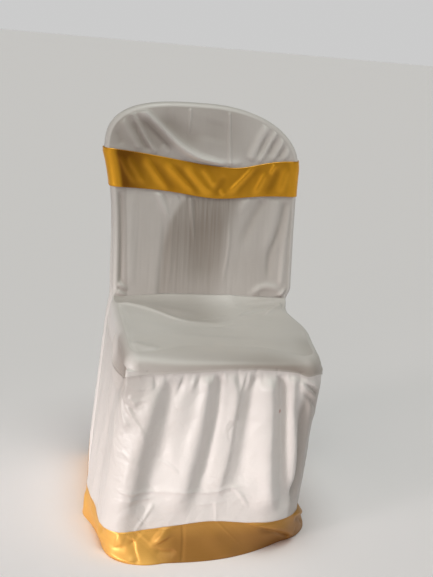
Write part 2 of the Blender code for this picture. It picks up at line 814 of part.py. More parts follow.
def main():
    """Builds the cover."""
    remove_everything()
    white = satin(WHITE_SATIN)
    gold = satin(GOLD_SATIN)
    pieces = [
        make_front_panel(white),
        make_rear_panel(white),
        make_seat_panel(white),
        make_skirt(white),
        make_border(gold),
        make_sash(gold),
    ]
    centre_over_origin(pieces)


main()
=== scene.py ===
"""White satin cover for an armless banquet chair, with a gold hem border and a gold sash.

The shape is worked out in the chair's own frame: metres, floor at Z = 0, the middle of the seat at X = 0, the
front of the seat at Y = 0, +X to the right as seen from the front. Each panel of cloth is a fine sheet that
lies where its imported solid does, with the folds that the cloth takes on the chair.
"""

import logging
import math
from dataclasses import dataclass, field, replace
from enum import Enum
from typing import Any, Sequence

import bmesh
import bpy
import numpy as np
from mathutils import Matrix, Vector, noise


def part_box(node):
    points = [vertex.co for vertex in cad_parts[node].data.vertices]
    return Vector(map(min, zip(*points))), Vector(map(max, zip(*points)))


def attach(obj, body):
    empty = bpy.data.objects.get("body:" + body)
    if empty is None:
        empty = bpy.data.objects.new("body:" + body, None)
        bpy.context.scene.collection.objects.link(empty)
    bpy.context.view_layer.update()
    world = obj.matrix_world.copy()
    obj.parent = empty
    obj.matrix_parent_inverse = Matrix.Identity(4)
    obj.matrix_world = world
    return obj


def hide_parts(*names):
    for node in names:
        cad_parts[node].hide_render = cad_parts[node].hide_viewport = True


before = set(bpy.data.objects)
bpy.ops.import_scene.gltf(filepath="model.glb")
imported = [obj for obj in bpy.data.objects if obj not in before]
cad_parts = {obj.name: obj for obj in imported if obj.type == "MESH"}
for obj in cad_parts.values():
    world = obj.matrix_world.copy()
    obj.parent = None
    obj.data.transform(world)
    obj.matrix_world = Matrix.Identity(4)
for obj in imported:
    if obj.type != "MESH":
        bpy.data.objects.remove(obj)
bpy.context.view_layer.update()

LOG = logging.getLogger("chair_cover")

Place = tuple[float, float]
Triple = tuple[float, float, float]
Mesh = bmesh.types.BMesh
Material = bpy.types.Material

# The chair and its cover, as the solids have them
SEAT_TOP = 0.444
SEAT_DEPTH = 0.386
SEAT_FRONT_DROP = 0.008
SEAT_ROUND = 0.014
SEAT_ROUND_REAR = 0.003
SEAM_Z = 0.389
RECLINE = math.radians(11.9)
BACK_TOP = 0.900
SLEEVE_DEPTH = 0.045
BACK_ROUND = 0.018
REAR_Y = 0.497
SIDE_SEAM = 0.024
SIDE_SEAM_FOOT = 0.0025
SIDE_SEAM_RISE = 0.035
SIDE_SEAM_HEM_Y = 0.250
BORDER_Z = 0.066
CLOTH = 0.0008
SEAM_GAP = 0.0003
FOOT_Z = SEAT_TOP + SEAM_GAP
EDGE_Z = SEAT_TOP - SEAT_ROUND
MILLIMETRES = 1000.0


# ---------------------------------------------------------------- small maths


def smooth(t: Any) -> Any:
    """Goes from 0 to 1 with level ends as t does, for a number or an array."""
    t = np.clip(t, 0.0, 1.0)
    return t * t * (3.0 - 2.0 * t)


def mix(a: Any, b: Any, t: Any) -> Any:
    """The value, or the place, that lies t of the way from a to b."""
    return a + (b - a) * t


def bump(x: Any, middle: float, width: float) -> Any:
    """A soft bump of height 1."""
    return np.exp(-(((x - middle) / width) ** 2))


def unit(vectors: np.ndarray) -> np.ndarray:
    """The same directions with length 1."""
    return vectors / np.maximum(np.linalg.norm(vectors, axis=-1, keepdims=True), 1e-9)


def lengths_along(line: np.ndarray) -> np.ndarray:
    """How far along a polyline each of its points lies."""
    return np.concatenate([[0.0], np.cumsum(np.linalg.norm(np.diff(line, axis=0), axis=1))])


def resample(line: np.ndarray, shares: np.ndarray) -> np.ndarray:
    """The points of a polyline at these shares of its length."""
    lengths = lengths_along(line)
    return np.stack([np.interp(shares * lengths[-1], lengths, axis) for axis in line.T], axis=1)


def smooth_line(known: np.ndarray, steps: int = 8) -> np.ndarray:
    """Draws a Catmull-Rom line.

    Args:
        known: the few places that it passes through.
        steps: how many steps it takes from each to the next.

    Returns:
        Its points.
    """
    if len(known) == 2:
        return known
    ends = np.vstack([2 * known[0] - known[1], known, 2 * known[-1] - known[-2]])
    found = [known[0]]
    for a, b, c, d in zip(ends, ends[1:], ends[2:], ends[3:]):
        for t in np.arange(1, steps + 1) / steps:
            inner = 2 * b + (c - a) * t + (2 * a - 5 * b + 4 * c - d) * t**2
            found.append(0.5 * (inner + (3 * b - a - 3 * c + d) * t**3))
    return np.array(found)


def cloudy(places: np.ndarray, size: Place, seed: float) -> np.ndarray:
    """Smooth noise over a panel.

    Args:
        places: where it is wanted, in metres.
        size: the size of its lumps along each axis.
        seed: which noise it is.

    Returns:
        Values from about -1 to 1.
    """
    values = [noise.noise(Vector((u / size[0], v / size[1], seed))) for u, v in places.reshape(-1, 2)]
    return np.array(values).reshape(places.shape[:-1])


# ---------------------------------------------------------------- folds


@dataclass(frozen=True)
class Fold:
    """A ridge, or a trough where its height is negative, along a smooth line on a panel.

    line is u, v, u, v and so on; it, width and height are in millimetres. lean makes one flank steeper:
    positive the flank to the right of the line's direction. start and end are the shares of the line over
    which the fold dies away; 0 keeps it full to that end. spread is how much wider it gets along its line.
    """

    line: tuple[float, ...]
    width: float
    height: float
    lean: float = 0.0
    start: float = 0.3
    end: float = 0.3
    spread: float = 0.0

    def lift(self, places: np.ndarray) -> np.ndarray:
        """Works out how far the fold lifts the cloth.

        Args:
            places: an array whose last axis is (u, v), in metres.

        Returns:
            The height at each place, in metres.
        """
        line = smooth_line(np.reshape(self.line, (-1, 2)) / MILLIMETRES)
        width = self.width / MILLIMETRES
        reach = 3.2 * width * (1.0 + abs(self.lean)) * (1.0 + self.spread / 2)
        flat = places.reshape(-1, 2)
        near = np.all((flat > line.min(axis=0) - reach) & (flat < line.max(axis=0) + reach), axis=1)
        spots = flat[near]
        before = lengths_along(line)
        best = np.full(len(spots), np.inf)
        along, side = np.zeros(len(spots)), np.ones(len(spots))
        for a, b, length, passed in zip(line, line[1:], np.diff(before), before):
            heading = (b - a) / length
            offset = spots - a
            t = np.clip(offset @ heading, 0.0, length)
            gap = np.linalg.norm(offset - t[:, None] * heading, axis=1)
            closer = gap < best
            best = np.where(closer, gap, best)
            along = np.where(closer, (passed + t) / before[-1], along)
            turn = heading[0] * offset[:, 1] - heading[1] * offset[:, 0]
            side = np.where(closer, np.sign(turn), side)
        width = width * (1.0 + self.lean * side) * (1.0 + self.spread * (along - 0.5))
        opening = smooth(along / self.start) if self.start else 1.0
        closing = smooth((1.0 - along) / self.end) if self.end else 1.0
        heights = np.zeros(len(flat))
        heights[near] = self.height / MILLIMETRES * np.exp(-((best / width) ** 2)) * opening * closing
        return heights.reshape(places.shape[:-1])


@dataclass(frozen=True)
class Crumple:
    """Uneven lumps over a panel: their size along each axis, their height and the seed of their noise.

    creased makes them sharp creases between flat facets. spot, as (middle u, middle v, size u, size v), keeps
    them to one part of the panel. turn slants them, in radians. Sizes are in millimetres.
    """

    size: Place
    height: float
    seed: float
    creased: bool = False
    spot: tuple[float, float, float, float] | None = None
    turn: float = 0.0

    def lift(self, places: np.ndarray) -> np.ndarray:
        """Works out how far the lumps lift the cloth.

        Args:
            places: an array whose last axis is (u, v), in metres.

        Returns:
            The height at each place, in metres.
        """
        u, v = places[..., 0], places[..., 1]
        c, s = math.cos(self.turn), math.sin(self.turn)
        turned = np.stack([c * u + s * v, c * v - s * u], axis=-1)
        lumps = cloudy(turned, (self.size[0] / MILLIMETRES, self.size[1] / MILLIMETRES), self.seed)
        if self.creased:
            lumps = 0.4 - 2.0 * np.abs(lumps)
        if self.spot:
            middle_u, middle_v, wide, high = np.array(self.spot) / MILLIMETRES
            lumps = lumps * bump(u, middle_u, wide) * bump(v, middle_v, high)
        return self.height / MILLIMETRES * lumps


@dataclass(frozen=True)
class Relief:
    """Everything that lifts one panel of cloth off its smooth shape."""

    parts: tuple[Fold | Crumple, ...]

    def heights(self, places: np.ndarray) -> np.ndarray:
        """The sum of all folds and crumples at each place."""
        return sum((part.lift(places) for part in self.parts), np.zeros(places.shape[:-1]))


# The folds. Places on the back and the sash are (x, z), on the seat (x, y), elsewhere
# (distance round, z)
BACK_RELIEF = Relief((
    # the wide fold that the sash draws down from the left shoulder, and its neighbours
    Fold((-175, 889, -148, 872, -103, 836, -66, 805, -20, 779, 50, 756), 9.2, 16.5, -0.2, 0.1, 0.05),
    Fold((-155, 868, -110, 826, -72, 792), 9, -6.4, 0, 0.2, 0.2),
    Fold((-115, 872, -60, 832, 0, 800), 20, -5),
    Fold((-190, 878, -166, 852, -141, 812, -112, 774), 5.5, 5.6, -0.1, 0.1, 0.1),
    Fold((-177, 850, -155, 812, -130, 780), 6, -3.4, 0, 0.2, 0.2),
    Fold((-205, 858, -181, 821, -150, 776), 8, 4.6, 0, 0.2, 0.2),
    Fold((-213, 830, -195, 790), 8, -2.6),
    Fold((-105, 800, -85, 776), 8, 3),
    # pressed ridges
    Fold((-40, 902, -40, 861, -41, 815), 3.2, 3.6, 0, 0, 0.6),
    Fold((54, 893, 57, 829, 61, 758), 3.4, 4.2, 0, 0.05, 0.05),
    Fold((-84, 894, -79, 845), 3.2, 1.6, 0, 0, 0.5),
    Fold((20, 870, 10, 810), 40, -3),
    # the pile of cloth above the sash, and the fan at the right
    Fold((-20, 772, 50, 760, 105, 774), 11, 6),
    Fold((162, 872, 138, 842, 108, 774), 9, 6.2, 0, 0.3, 0.1),
    Fold((150, 840, 126, 785), 7, -3),
    Fold((182, 862, 160, 828, 128, 768), 6, 5.6, 0, 0.2, 0.1),
    Fold((172, 834, 150, 785), 6, -3.4),
    Fold((198, 845, 180, 812, 158, 770), 6, 5.4, 0, 0.2, 0.1),
    Fold((192, 815, 176, 780), 6, -3.2),
    Fold((211, 828, 200, 800, 185, 770), 5.5, 4.8, 0, 0.2, 0.1),
    Fold((222, 805, 212, 770), 5.5, 3.6, 0, 0.2, 0.1),
    Fold((160, 862, 172, 872), 6, -2),
    # under the sash: the chair's side rails, the hollow beside them and the drawn cloth
    Fold((-198, 695, -192, 600, -186, 470), 9.5, -4.8, -0.45, 0.1, 0.1),
    Fold((-172, 690, -168, 600, -164, 470), 9, 1.8, 0, 0.1, 0.1),
    Fold((-225, 680, -222, 560, -215, 480), 12, 3, 0, 0.1, 0.1),
    Fold((-112, 695, -92, 655, -76, 620), 8, 4.4, 0, 0, 0.5),
    Fold((-96, 695, -80, 660), 6, -2.6, 0, 0, 0.5),
    Fold((-62, 695, -50, 665), 3.5, -3, 0, 0, 0.6),
    Fold((-48, 695, -38, 660), 3, 2, 0, 0, 0.6),
    Fold((-33, 695, -23, 623, -15, 560), 3.2, 3.6, 0, 0, 0.5),
    Fold((-22, 695, -14, 620), 3, -2, 0, 0, 0.6),
    Fold((-86, 640, -92, 540, -96, 450), 10, -3, 0.3, 0.3, 0),
    Fold((-72, 660, -72, 560, -73, 460), 2.8, 1.4),
    Fold((66, 640, 66, 569, 55, 480), 3.5, 2.2),
    Fold((0, 660, 0, 470), 45, -4),
    Fold((150, 692, 118, 630, 90, 560), 12, -4.2, 0, 0.1, 0.4),
    Fold((110, 692, 86, 645), 10, 3.6, 0, 0, 0.5),
    Fold((182, 692, 165, 600, 150, 540), 14, 3.6, 0, 0.1, 0.4),
    Fold((202, 690, 188, 614, 169, 560, 166, 490), 8, -4, 0, 0.1, 0.2),
    Fold((218, 685, 204, 590, 197, 480), 7, 4, 0, 0.1, 0.1),
    # the cloth that bunches up on the seat
    Fold((118, 455, 150, 481, 185, 482, 204, 466), 8, 5),
    Fold((-210, 480, -189, 474, -165, 462), 4, 4.6, 0, 0.1, 0.4),
    Fold((-206, 464, -188, 456, -168, 448), 4, 4.4, 0, 0.1, 0.4),
    Fold((-208, 472, -186, 465), 3, -2.6),
    Fold((-215, 520, -195, 498), 4.5, 2.6),
    Fold((190, 460, 224, 488), 5, 4.8, 0, 0.3, 0.1),
    Fold((176, 450, 214, 466), 5, -3),
    Crumple((60, 90), 1.4, 11),
    Crumple((7, 80), 0.4, 12),
))
REAR_RELIEF = Relief((
    Fold((-120, 420, -135, 100), 20, 6, 0, 0.4, 0),
    Fold((-20, 400, -30, 90), 22, 5.5, 0, 0.4, 0),
    Fold((80, 420, 95, 100), 20, 6, 0, 0.4, 0),
    Fold((-180, 700, -60, 560), 14, 3),
    Fold((180, 700, 80, 580), 14, 3),
    Crumple((80, 160), 2, 21),
))
SEAT_RELIEF = Relief((
    Fold((-206, 338, -170, 322, -114, 276, -69, 216, -10, 191), 7, 2.6, 0.4, 0.1, 0.4),
    Fold((-190, 350, -120, 320, -50, 270, 20, 240), 30, 4, 0, 0.1, 0.4),
    Fold((-31, 220, 6, 238, 50, 269), 5, 2.2),
    Fold((-18, 182, 18, 184, 57, 208), 5, -1.8),
    Fold((63, 256, 105, 290, 160, 332), 6, -2.6),
    Fold((131, 258, 163, 319, 200, 366), 5, 2.4, 0, 0.4, 0.1),
    Fold((50, 234, 104, 304, 175, 352, 206, 372), 6, 2.6, 0, 0.4, 0.1),
    Fold((110, 360, 170, 375, 204, 380), 5, 2),
    Fold((50, 400, 80, 372, 70, 325), 18, 2.4),
    Fold((-204, 320, -205, 196, -200, 70), 8, 2),
    Fold((-190, 70, -165, 45, -130, 40), 12, 2.4),
    Fold((0, 100, 10, 200), 90, -2.2),
    Crumple((70, 50), 1, 31),
))
DROP_RELIEF = Relief((
    # the left corner: a lip, and the pocket that the cloth makes beside it
    Fold((-206, 440, -200, 415, -202, 385), 8.5, 10, 0.45, 0.1, 0),
    Fold((-226, 430, -224, 380), 9, -8, 0, 0.3, 0),
    Fold((-262, 436, -268, 400, -278, 340), 34, -11, 0, 0.1, 0),
    Fold((-238, 420, -244, 370), 6, 2.2, 0, 0.4, 0),
    Fold((-258, 412, -266, 365), 5, -1.8, 0, 0.4, 0),
    Fold((-385, 430, -358, 390, -320, 345), 14, 7, 0, 0.2, 0),
    # the tucks above the seam
    Fold((-168, 414, -158, 397), 4.8, -6, 0.4, 0.3, 0.2),
    Fold((-148, 414, -137, 399), 4.8, -6, 0.4, 0.3, 0.2),
    Fold((-158, 414, -148, 398), 4.5, 2.6, 0, 0.3, 0.2),
    Fold((-112, 416, -105, 401), 6, -1.8, 0, 0.5),
    # the right corner
    Fold((148, 440, 155, 415, 164, 398), 6.5, -2.8, 0, 0.1),
    Fold((163, 440, 172, 415, 180, 398), 5.5, 1.8, 0, 0.1),
    Fold((178, 440, 188, 415, 198, 396), 6, -2.4, 0, 0.1),
    Fold((225, 430, 232, 390), 12, 2.4, 0, 0.2),
    Fold((20, 412, 22, 402), 4, -1, 0, 0.5, 0.5),
    Fold((62, 414, 60, 402), 4, -1.2, 0, 0.5, 0.5),
    Fold((105, 414, 104, 402), 4, -1.2, 0, 0.5, 0.5),
    Crumple((20, 30), 0.7, 41),
))
SKIRT_RELIEF = Relief((
    # the long folds, each ridge followed by the trough on its right
    Fold((-131, 392, -152, 317, -169, 240, -182, 150, -200, 60), 21, 11.5, 0, 0.25, 0, 0.6),
    Fold((-111, 392, -116, 320, -121, 250, -143, 150, -170, 60), 22, -10.5, 0, 0.1, 0.35, 0.6),
    Fold((-40, 397, -45, 321, -60, 230, -81, 126, -108, 60), 21, 11.5, 0, 0.05, 0.3, 1.1),
    Fold((-15, 400, -16, 321, -27, 225, -45, 126, -60, 80), 13, -9, 0, 0.02, 0.35, 0.6),
    Fold((8, 400, 21, 350, 18, 290, 13, 220, -4, 124), 11, 4.6, -0.3, 0.05, 0.2, 0.4),
    Fold((60, 400, 52, 321, 47, 230, 32, 126), 15, -7.5, 0, 0.03, 0.2, 0.6),
    Fold((88, 398, 95, 322, 100, 220, 110, 110, 112, 85), 23, 17, -0.2, 0.1, 0.15, 0.5),
    Fold((113, 400, 120, 323, 130, 220, 142, 120, 145, 80), 13, -11, 0, 0.02, 0.15, 0.4),
    Fold((139, 398, 145, 323, 158, 230, 163, 120), 11, 8, -0.2, 0.05, 0.2, 0.4),
    Fold((166, 360, 174, 300, 184, 200, 182, 100), 15, -15, -0.2, 0.2, 0.15),
    # the short gathers under the seam
    Fold((-148, 394, -142, 350), 5, -5, 0.3, 0, 0.7, 0.8),
    Fold((-130, 396, -128, 360), 5, 4, 0, 0, 0.7, 0.8),
    Fold((-86, 400, -100, 335), 6, -6, 0.3, 0, 0.6, 0.8),
    Fold((-64, 400, -74, 345), 5.5, 5, 0, 0, 0.7, 0.8),
    Fold((-54, 402, -60, 360), 4, -3.6, 0, 0, 0.7, 0.8),
    Fold((-28, 404, -30, 365), 4, 3.6, 0, 0, 0.8, 0.8),
    Fold((-4, 405, -4, 365), 4, 4.4, 0, 0, 0.8, 0.8),
    Fold((22, 405, 29, 360), 5, -4.6, 0, 0, 0.8, 0.8),
    Fold((47, 405, 45, 352), 5, 4.8, 0, 0, 0.8, 0.8),
    Fold((74, 404, 78, 362), 4.5, -3.4, 0, 0, 0.8, 0.8),
    Fold((100, 404, 103, 362), 4, 3.6, 0, 0, 0.8, 0.8),
    Fold((127, 402, 130, 362), 4, 3.6, 0, 0, 0.8, 0.8),
    Fold((152, 400, 156, 368), 4, -4, 0, 0, 0.8, 0.8),
    Fold((168, 398, 172, 370), 4, 3, 0, 0, 0.8, 0.8),
    # the swag under the right corner
    Fold((132, 397, 152, 386, 176, 362, 225, 332), 6.5, 6.2, -0.3, 0.1, 0.5, 0.3),
    Fold((157, 389, 179, 380, 232, 354), 5.5, 4.8, -0.3, 0.1, 0.6),
    Fold((160, 380, 180, 370, 225, 345), 5, -4, 0, 0.2, 0.5),
    Fold((160, 366, 186, 346, 236, 310), 7, -5, 0, 0.2, 0.4),
    Fold((230, 300, 240, 200), 20, -4),
    # the pleat, and the small hook at its foot
    Fold((37, 400, 28, 350, 20, 292), 9, 3.6, -0.75, 0, 0.1),
    Fold((12, 304, 4, 284, 8, 270), 3, 1.1),
    Fold((22, 296, 12, 272, 18, 250), 3, -1.2),
    # pressed creases that run across and down
    Fold((-216, 146, -150, 140, -80, 146, -30, 141, 20, 150, 60, 153), 3, 3, 0.3, 0.1, 0.1),
    Fold((-200, 127, -126, 127), 3, 2.8),
    Fold((-60, 112, 0, 119, 30, 122), 3, 1.8),
    Fold((26, 157, 50, 135, 69, 105), 4, 2.4),
    Fold((-3, 123, 2, 70), 3, 1.4, 0, 0.1, 0),
    Fold((-130, 120, -150, 85, -166, 58), 4, 2.6, 0, 0.2, 0),
    Fold((-140, 210, -105, 200, -80, 180), 3, 1.8),
    # the creased upper left corner
    Fold((-214, 372, -190, 310, -165, 270, -160, 240), 4.5, 2.2),
    Fold((-226, 352, -206, 300, -182, 270), 4, 2.2),
    Fold((-196, 345, -178, 322), 4, 2.6),
    Fold((-204, 330, -180, 312), 4, -2.2),
    Fold((-190, 330, -150, 345), 4.5, 2),
    Fold((-260, 340, -235, 250, -215, 200), 6, 2),
    Fold((-215, 225, -195, 222, -178, 205), 3.6, 1.4),
    Fold((-235, 290, -200, 285, -185, 290), 3.6, 1.2),
    # the sides
    Fold((-300, 340, -330, 200, -330, 60), 22, -3.5, 0, 0.2, 0),
    Fold((-430, 350, -440, 60), 22, 3.5, 0, 0.3, 0),
    Fold((-520, 350, -530, 60), 18, -3.5, 0, 0.3, 0),
    Fold((300, 350, 310, 60), 22, 6, 0, 0.2, 0),
    Fold((360, 350, 380, 60), 22, -6, 0, 0.2, 0),
    Fold((450, 370, 470, 60), 24, 6, 0, 0.2, 0),
    Crumple((30, 60), 1.2, 51),
    Crumple((34, 40), 0.6, 54, True),
    Crumple((24, 9), 1, 55, True, (-215, 300, 50, 85), -0.7),
    Crumple((30, 10), 0.6, 56, True, (-180, 200, 70, 70), -0.35),
    Crumple((30, 9), 1, 57, True, (0, 130, 220, 30)),
    Crumple((6.5, 7), 0.25, 53, True),
))
BORDER_RELIEF = Relief((
    # the creases that meet in a star where the cloth bends round the left corner
    Fold((-171, 38, -182, 46, -200, 58), 6, -1.8, 0.5, 0, 0.5),
    Fold((-169, 38, -158, 52, -146, 64), 5.5, -1.8, 0.5, 0),
    Fold((-169, 38, -190, 30, -213, 18), 6, -1.8, 0.5, 0, 0.4),
    Fold((-169, 38, -165, 20, -158, 0), 6, -3, -0.6, 0, 0),
    Fold((-205, 46, -186, 40), 16, 3),
    Fold((-230, 14, -196, 6, -160, 4), 9, 4, 0, 0.3, 0.2),
    Fold((-385, 52, -265, 34, -212, 26), 11, 6, 0, 0.3, 0.2),
    Fold((-260, 58, -230, 46), 12, -3),
    # the round swelling and the curl under it
    Fold((-122, 56, -112, 46, -106, 36), 20, 8.5, 0, 0.4, 0.4),
    Fold((-130, 26, -106, 20, -88, 20, -78, 14), 6, -3.4, -0.5),
    Fold((-69, 68, -67, 40, -70, 2), 3.4, -1.4, 0.4, 0, 0),
    # the cloth that folds over itself at the right
    Fold((60, 80, 105, 64, 170, 42, 235, 12), 9, 7.5, 0.45, 0.15, 0.1),
    Fold((88, 58, 135, 40, 171, 24, 225, 8), 6, -6.5, 0, 0.25, 0.1),
    Fold((196, 72, 250, 62, 320, 40), 8, 6, 0.3, 0.2, 0.2),
    Fold((210, 56, 270, 40, 330, 10), 7, -5),
    Fold((-20, 60, 20, 20, 60, 8), 22, 3.4),
    Fold((-430, 60, -415, 10), 14, 4),
    Crumple((80, 50), 1.4, 61),
))
SASH_RELIEF = Relief((
    Fold((-210, 782, -185, 740, -160, 702), 7.6, 3.1),
    Fold((-188, 776, -160, 735, -138, 700), 8.6, 3.5, -0.2),
    Fold((-150, 776, -115, 735, -83, 694), 8.6, 5, -0.3),
    Fold((-128, 770, -96, 730, -64, 692), 8.6, -3.5),
    Fold((-100, 768, -60, 730, -18, 692), 8.1, 5, -0.3),
    Fold((-78, 766, -40, 726, -4, 690), 7.6, -3.5),
    Fold((-50, 765, -12, 724, 24, 688), 10.3, 5.5, -0.3),
    Fold((-10, 758, 10, 735, 30, 705), 8.6, 3.5),
    Fold((34, 708, 52, 692), 5.4, 3.1),
    Fold((30, 690, 40, 720, 52, 740), 7.6, -3.1),
    Fold((125, 768, 90, 730, 52, 692), 8.6, 5, 0.3),
    Fold((142, 772, 104, 732, 68, 690), 7.6, -3.8),
    Fold((150, 756, 135, 725, 120, 694), 7.6, 4.3),
    Fold((182, 772, 168, 735, 150, 698), 7.6, -3.8),
    Fold((172, 774, 158, 745), 5.4, 3.5),
    Fold((205, 775, 192, 735, 180, 700), 9.7, 3.5),
    Fold((228, 775, 222, 700), 9.7, 2.4),
    Crumple((16, 30), 0.7, 71),
))


# ---------------------------------------------------------------- the shape of the back


@dataclass(frozen=True)
class Half:
    """Half of the back's outline, as seen from the front."""

    foot: float
    waist: float
    shoulder: float
    shoulder_z: float
    power: float
    waist_rise: float = 0.040

    def straight(self, z: Any) -> Any:
        """The half width below the shoulder, at height z."""
        up = (z - SEAT_TOP) / (self.shoulder_z - SEAT_TOP)
        waist = mix(self.foot, self.waist, smooth((z - SEAT_TOP) / self.waist_rise))
        return waist + (self.shoulder - self.waist) * (0.2 * up + 0.8 * up**4)

    def arch(self, angle: np.ndarray) -> np.ndarray:
        """Points (half width, z) of the rounded top, from the shoulder at angle 0 to a quarter turn."""
        across = np.abs(np.cos(angle)) ** (2.0 / self.power)
        up = np.abs(np.sin(angle)) ** (2.0 / self.power)
        return np.stack([self.shoulder * across, self.shoulder_z + (BACK_TOP - self.shoulder_z) * up], axis=1)

    def width(self, z: float) -> float:
        """The half width at any height below the top."""
        if z < self.shoulder_z:
            return float(self.straight(z))
        up = (z - self.shoulder_z) / (BACK_TOP - self.shoulder_z)
        return self.shoulder * (1.0 - up**self.power) ** (1.0 / self.power)

    def side(self) -> np.ndarray:
        """The outline (half width, z) from the foot to the middle of the rounded shoulder."""
        z = np.linspace(FOOT_Z, self.shoulder_z, 80, endpoint=False)
        below = np.stack([self.straight(z), z], axis=1)
        return np.vstack([below, self.arch(np.linspace(0, math.pi / 4, 60))])


LEFT = Half(0.2045, 0.2060, 0.2370, 0.775, 3.0)
RIGHT = Half(0.2115, 0.2255, 0.2315, 0.760, 2.15)
MIRROR = np.array([-1.0, 1.0])
EVENING_STEPS = 2000


def front_y(z: Any) -> Any:
    """The reclined front of the back."""
    return SEAT_DEPTH + math.tan(RECLINE) * (z - SEAT_TOP)


def rear_y(z: Any) -> Any:
    """The rear panel hugs the top of the back, then hangs straight down."""
    hugging = front_y(z) + SLEEVE_DEPTH
    hanging = REAR_Y + 0.003 * (1.0 - z / BACK_TOP)
    softness = 0.020
    near = np.maximum(softness - np.abs(hugging - hanging), 0.0)
    return np.maximum(hugging, hanging) + near * near / (4.0 * softness)


def side_seam(z: Any) -> Any:
    """How far behind the front of the back its side seam runs."""
    return mix(SIDE_SEAM_FOOT, SIDE_SEAM, smooth((z - SEAT_TOP) / SIDE_SEAM_RISE))


def back_stations(rows: int, columns: int) -> tuple[np.ndarray, np.ndarray]:
    """Steps round the back, from the left foot over the top to the right foot.

    Args:
        rows: how many steps there are up each side.
        columns: how many steps there are over the top.

    Returns:
        The stations and the outward direction at each, both as (x, z).
    """
    quarter = math.pi / 4
    over_left = LEFT.arch(np.linspace(quarter, 2 * quarter, 90, endpoint=False)) * MIRROR
    top = np.vstack([over_left, RIGHT.arch(np.linspace(2 * quarter, quarter, 90))])
    sides = np.linspace(0.0, 1.0, rows + 1)
    over = resample(top, np.linspace(0.0, 1.0, columns + 1))[1:-1]
    stations = np.vstack([resample(LEFT.side(), sides) * MIRROR, over, resample(RIGHT.side(), sides)[::-1]])
    run = np.gradient(stations, axis=0)
    outward = unit(np.stack([-run[:, 1], run[:, 0]], axis=1))
    outward[0], outward[-1] = (-1.0, 0.0), (1.0, 0.0)
    return stations, outward


def plate_in(rim: np.ndarray, rows: int, columns: int) -> np.ndarray:
    """Fills a rim that goes up its left side, over its top and down its right side.

    Args:
        rim: its places.
        rows: how many steps each side has.
        columns: how many steps the top has.

    Returns:
        Rows of evenly spread places, from the foot up.
    """
    left, top, right = rim[: rows + 1], rim[rows : rows + columns + 1], rim[rows + columns :][::-1]
    u = np.linspace(0.0, 1.0, columns + 1)[None, :, None]
    v = (np.linalg.norm(left - left[0], axis=1) / np.linalg.norm(left[-1] - left[0]))[:, None, None]
    bottom = mix(left[0], right[0], u)
    ruled = mix(bottom, top[None], v) + mix(left[:, None], right[:, None], u)
    places = ruled - mix(bottom, mix(left[-1], right[-1], u), v)
    for _ in range(EVENING_STEPS):
        beside = places[1:-1, :-2] + places[1:-1, 2:]
        places[1:-1, 1:-1] = (places[:-2, 1:-1] + places[2:, 1:-1] + beside) / 4.0
    return places


def faded(shape: tuple[int, ...], steps: float) -> np.ndarray:
    """Lets the folds of a plate die away at its left, right and last edges.

    Args:
        shape: how many rows and columns of places it has.
        steps: over how many of them the folds die away.

    Returns:
        The share of its folds that each place keeps.
    """
    row, column = np.arange(shape[0]), np.arange(shape[1])
    across = np.minimum(column, shape[1] - 1 - column)[None, :]
    return smooth(np.minimum(across, (shape[0] - 1 - row)[:, None]) / steps)


# ---------------------------------------------------------------- the shape of the lower cover


@dataclass(frozen=True)
class Outline:
    """A horizontal outline. Its corners go from the rear left round by the front to the rear right.

    rounds are the sizes of the rounded corners, and bows say how far the side up to each corner bows out.
    """

    corners: tuple[Place, Place, Place, Place]
    rounds: tuple[float, float, float, float]
    bows: tuple[float, float, float, float] = (0.0, 0.0, 0.0, 0.0)

    def point(self, stretch: str, t: float, seam_y: float) -> Vector:
        """Finds a point of the outline.

        Args:
            stretch: a corner or a side, or a side and which part of it, as seen from its seam.
            t: how far along the stretch the point lies.
            seam_y: where the side seams lie.

        Returns:
            The point.
        """
        corners = [Vector(corner) for corner in self.corners]
        if stretch in CORNERS:
            i = CORNERS.index(stretch)
            return rounded(corners[i - 1], corners[i], corners[(i + 1) % 4], self.rounds[i], t)
        side, _, part = stretch.partition("_")
        i = SIDES.index(side)
        start = toward(corners[i - 1], corners[i], self.rounds[i - 1])
        end = toward(corners[i], corners[i - 1], self.rounds[i])
        if part:
            seam = (seam_y - start.y) / (end.y - start.y)
            t = seam * t if stretch in ("left_rear", "right_front") else mix(seam, 1.0, t)
        return bowed(start, end, self.bows[i], t)


CORNERS = ("rear_left", "front_left", "front_right", "rear_right")
SIDES = ("rear", "left", "front", "right")


def toward(a: Vector, b: Vector, distance: float) -> Vector:
    """The point at this distance from a on the way to b."""
    return a + (b - a).normalized() * distance


def rounded(a: Vector, b: Vector, c: Vector, size: float, t: float) -> Vector:
    """Finds a point of a rounded corner.

    Args:
        a: the corner before it.
        b: the corner itself.
        c: the corner after it.
        size: how far from the corner it starts and ends.
        t: how far along it the point lies.

    Returns:
        The point.
    """
    handle = 0.5523
    start, end = toward(b, a, size), toward(b, c, size)
    s = 1.0 - t
    inner = mix(start, b, handle) * (3 * s * s * t) + mix(end, b, handle) * (3 * s * t * t)
    return start * s**3 + inner + end * t**3


def bowed(start: Vector, end: Vector, bow: float, t: float) -> Vector:
    """A point t of the way along a side that bows out to the right of its direction."""
    along = (end - start).normalized()
    arch = max(4.0 * t * (1.0 - t), 0.0) ** 1.2
    return mix(start, end, t) + Vector((along.y, -along.x)) * bow * arch


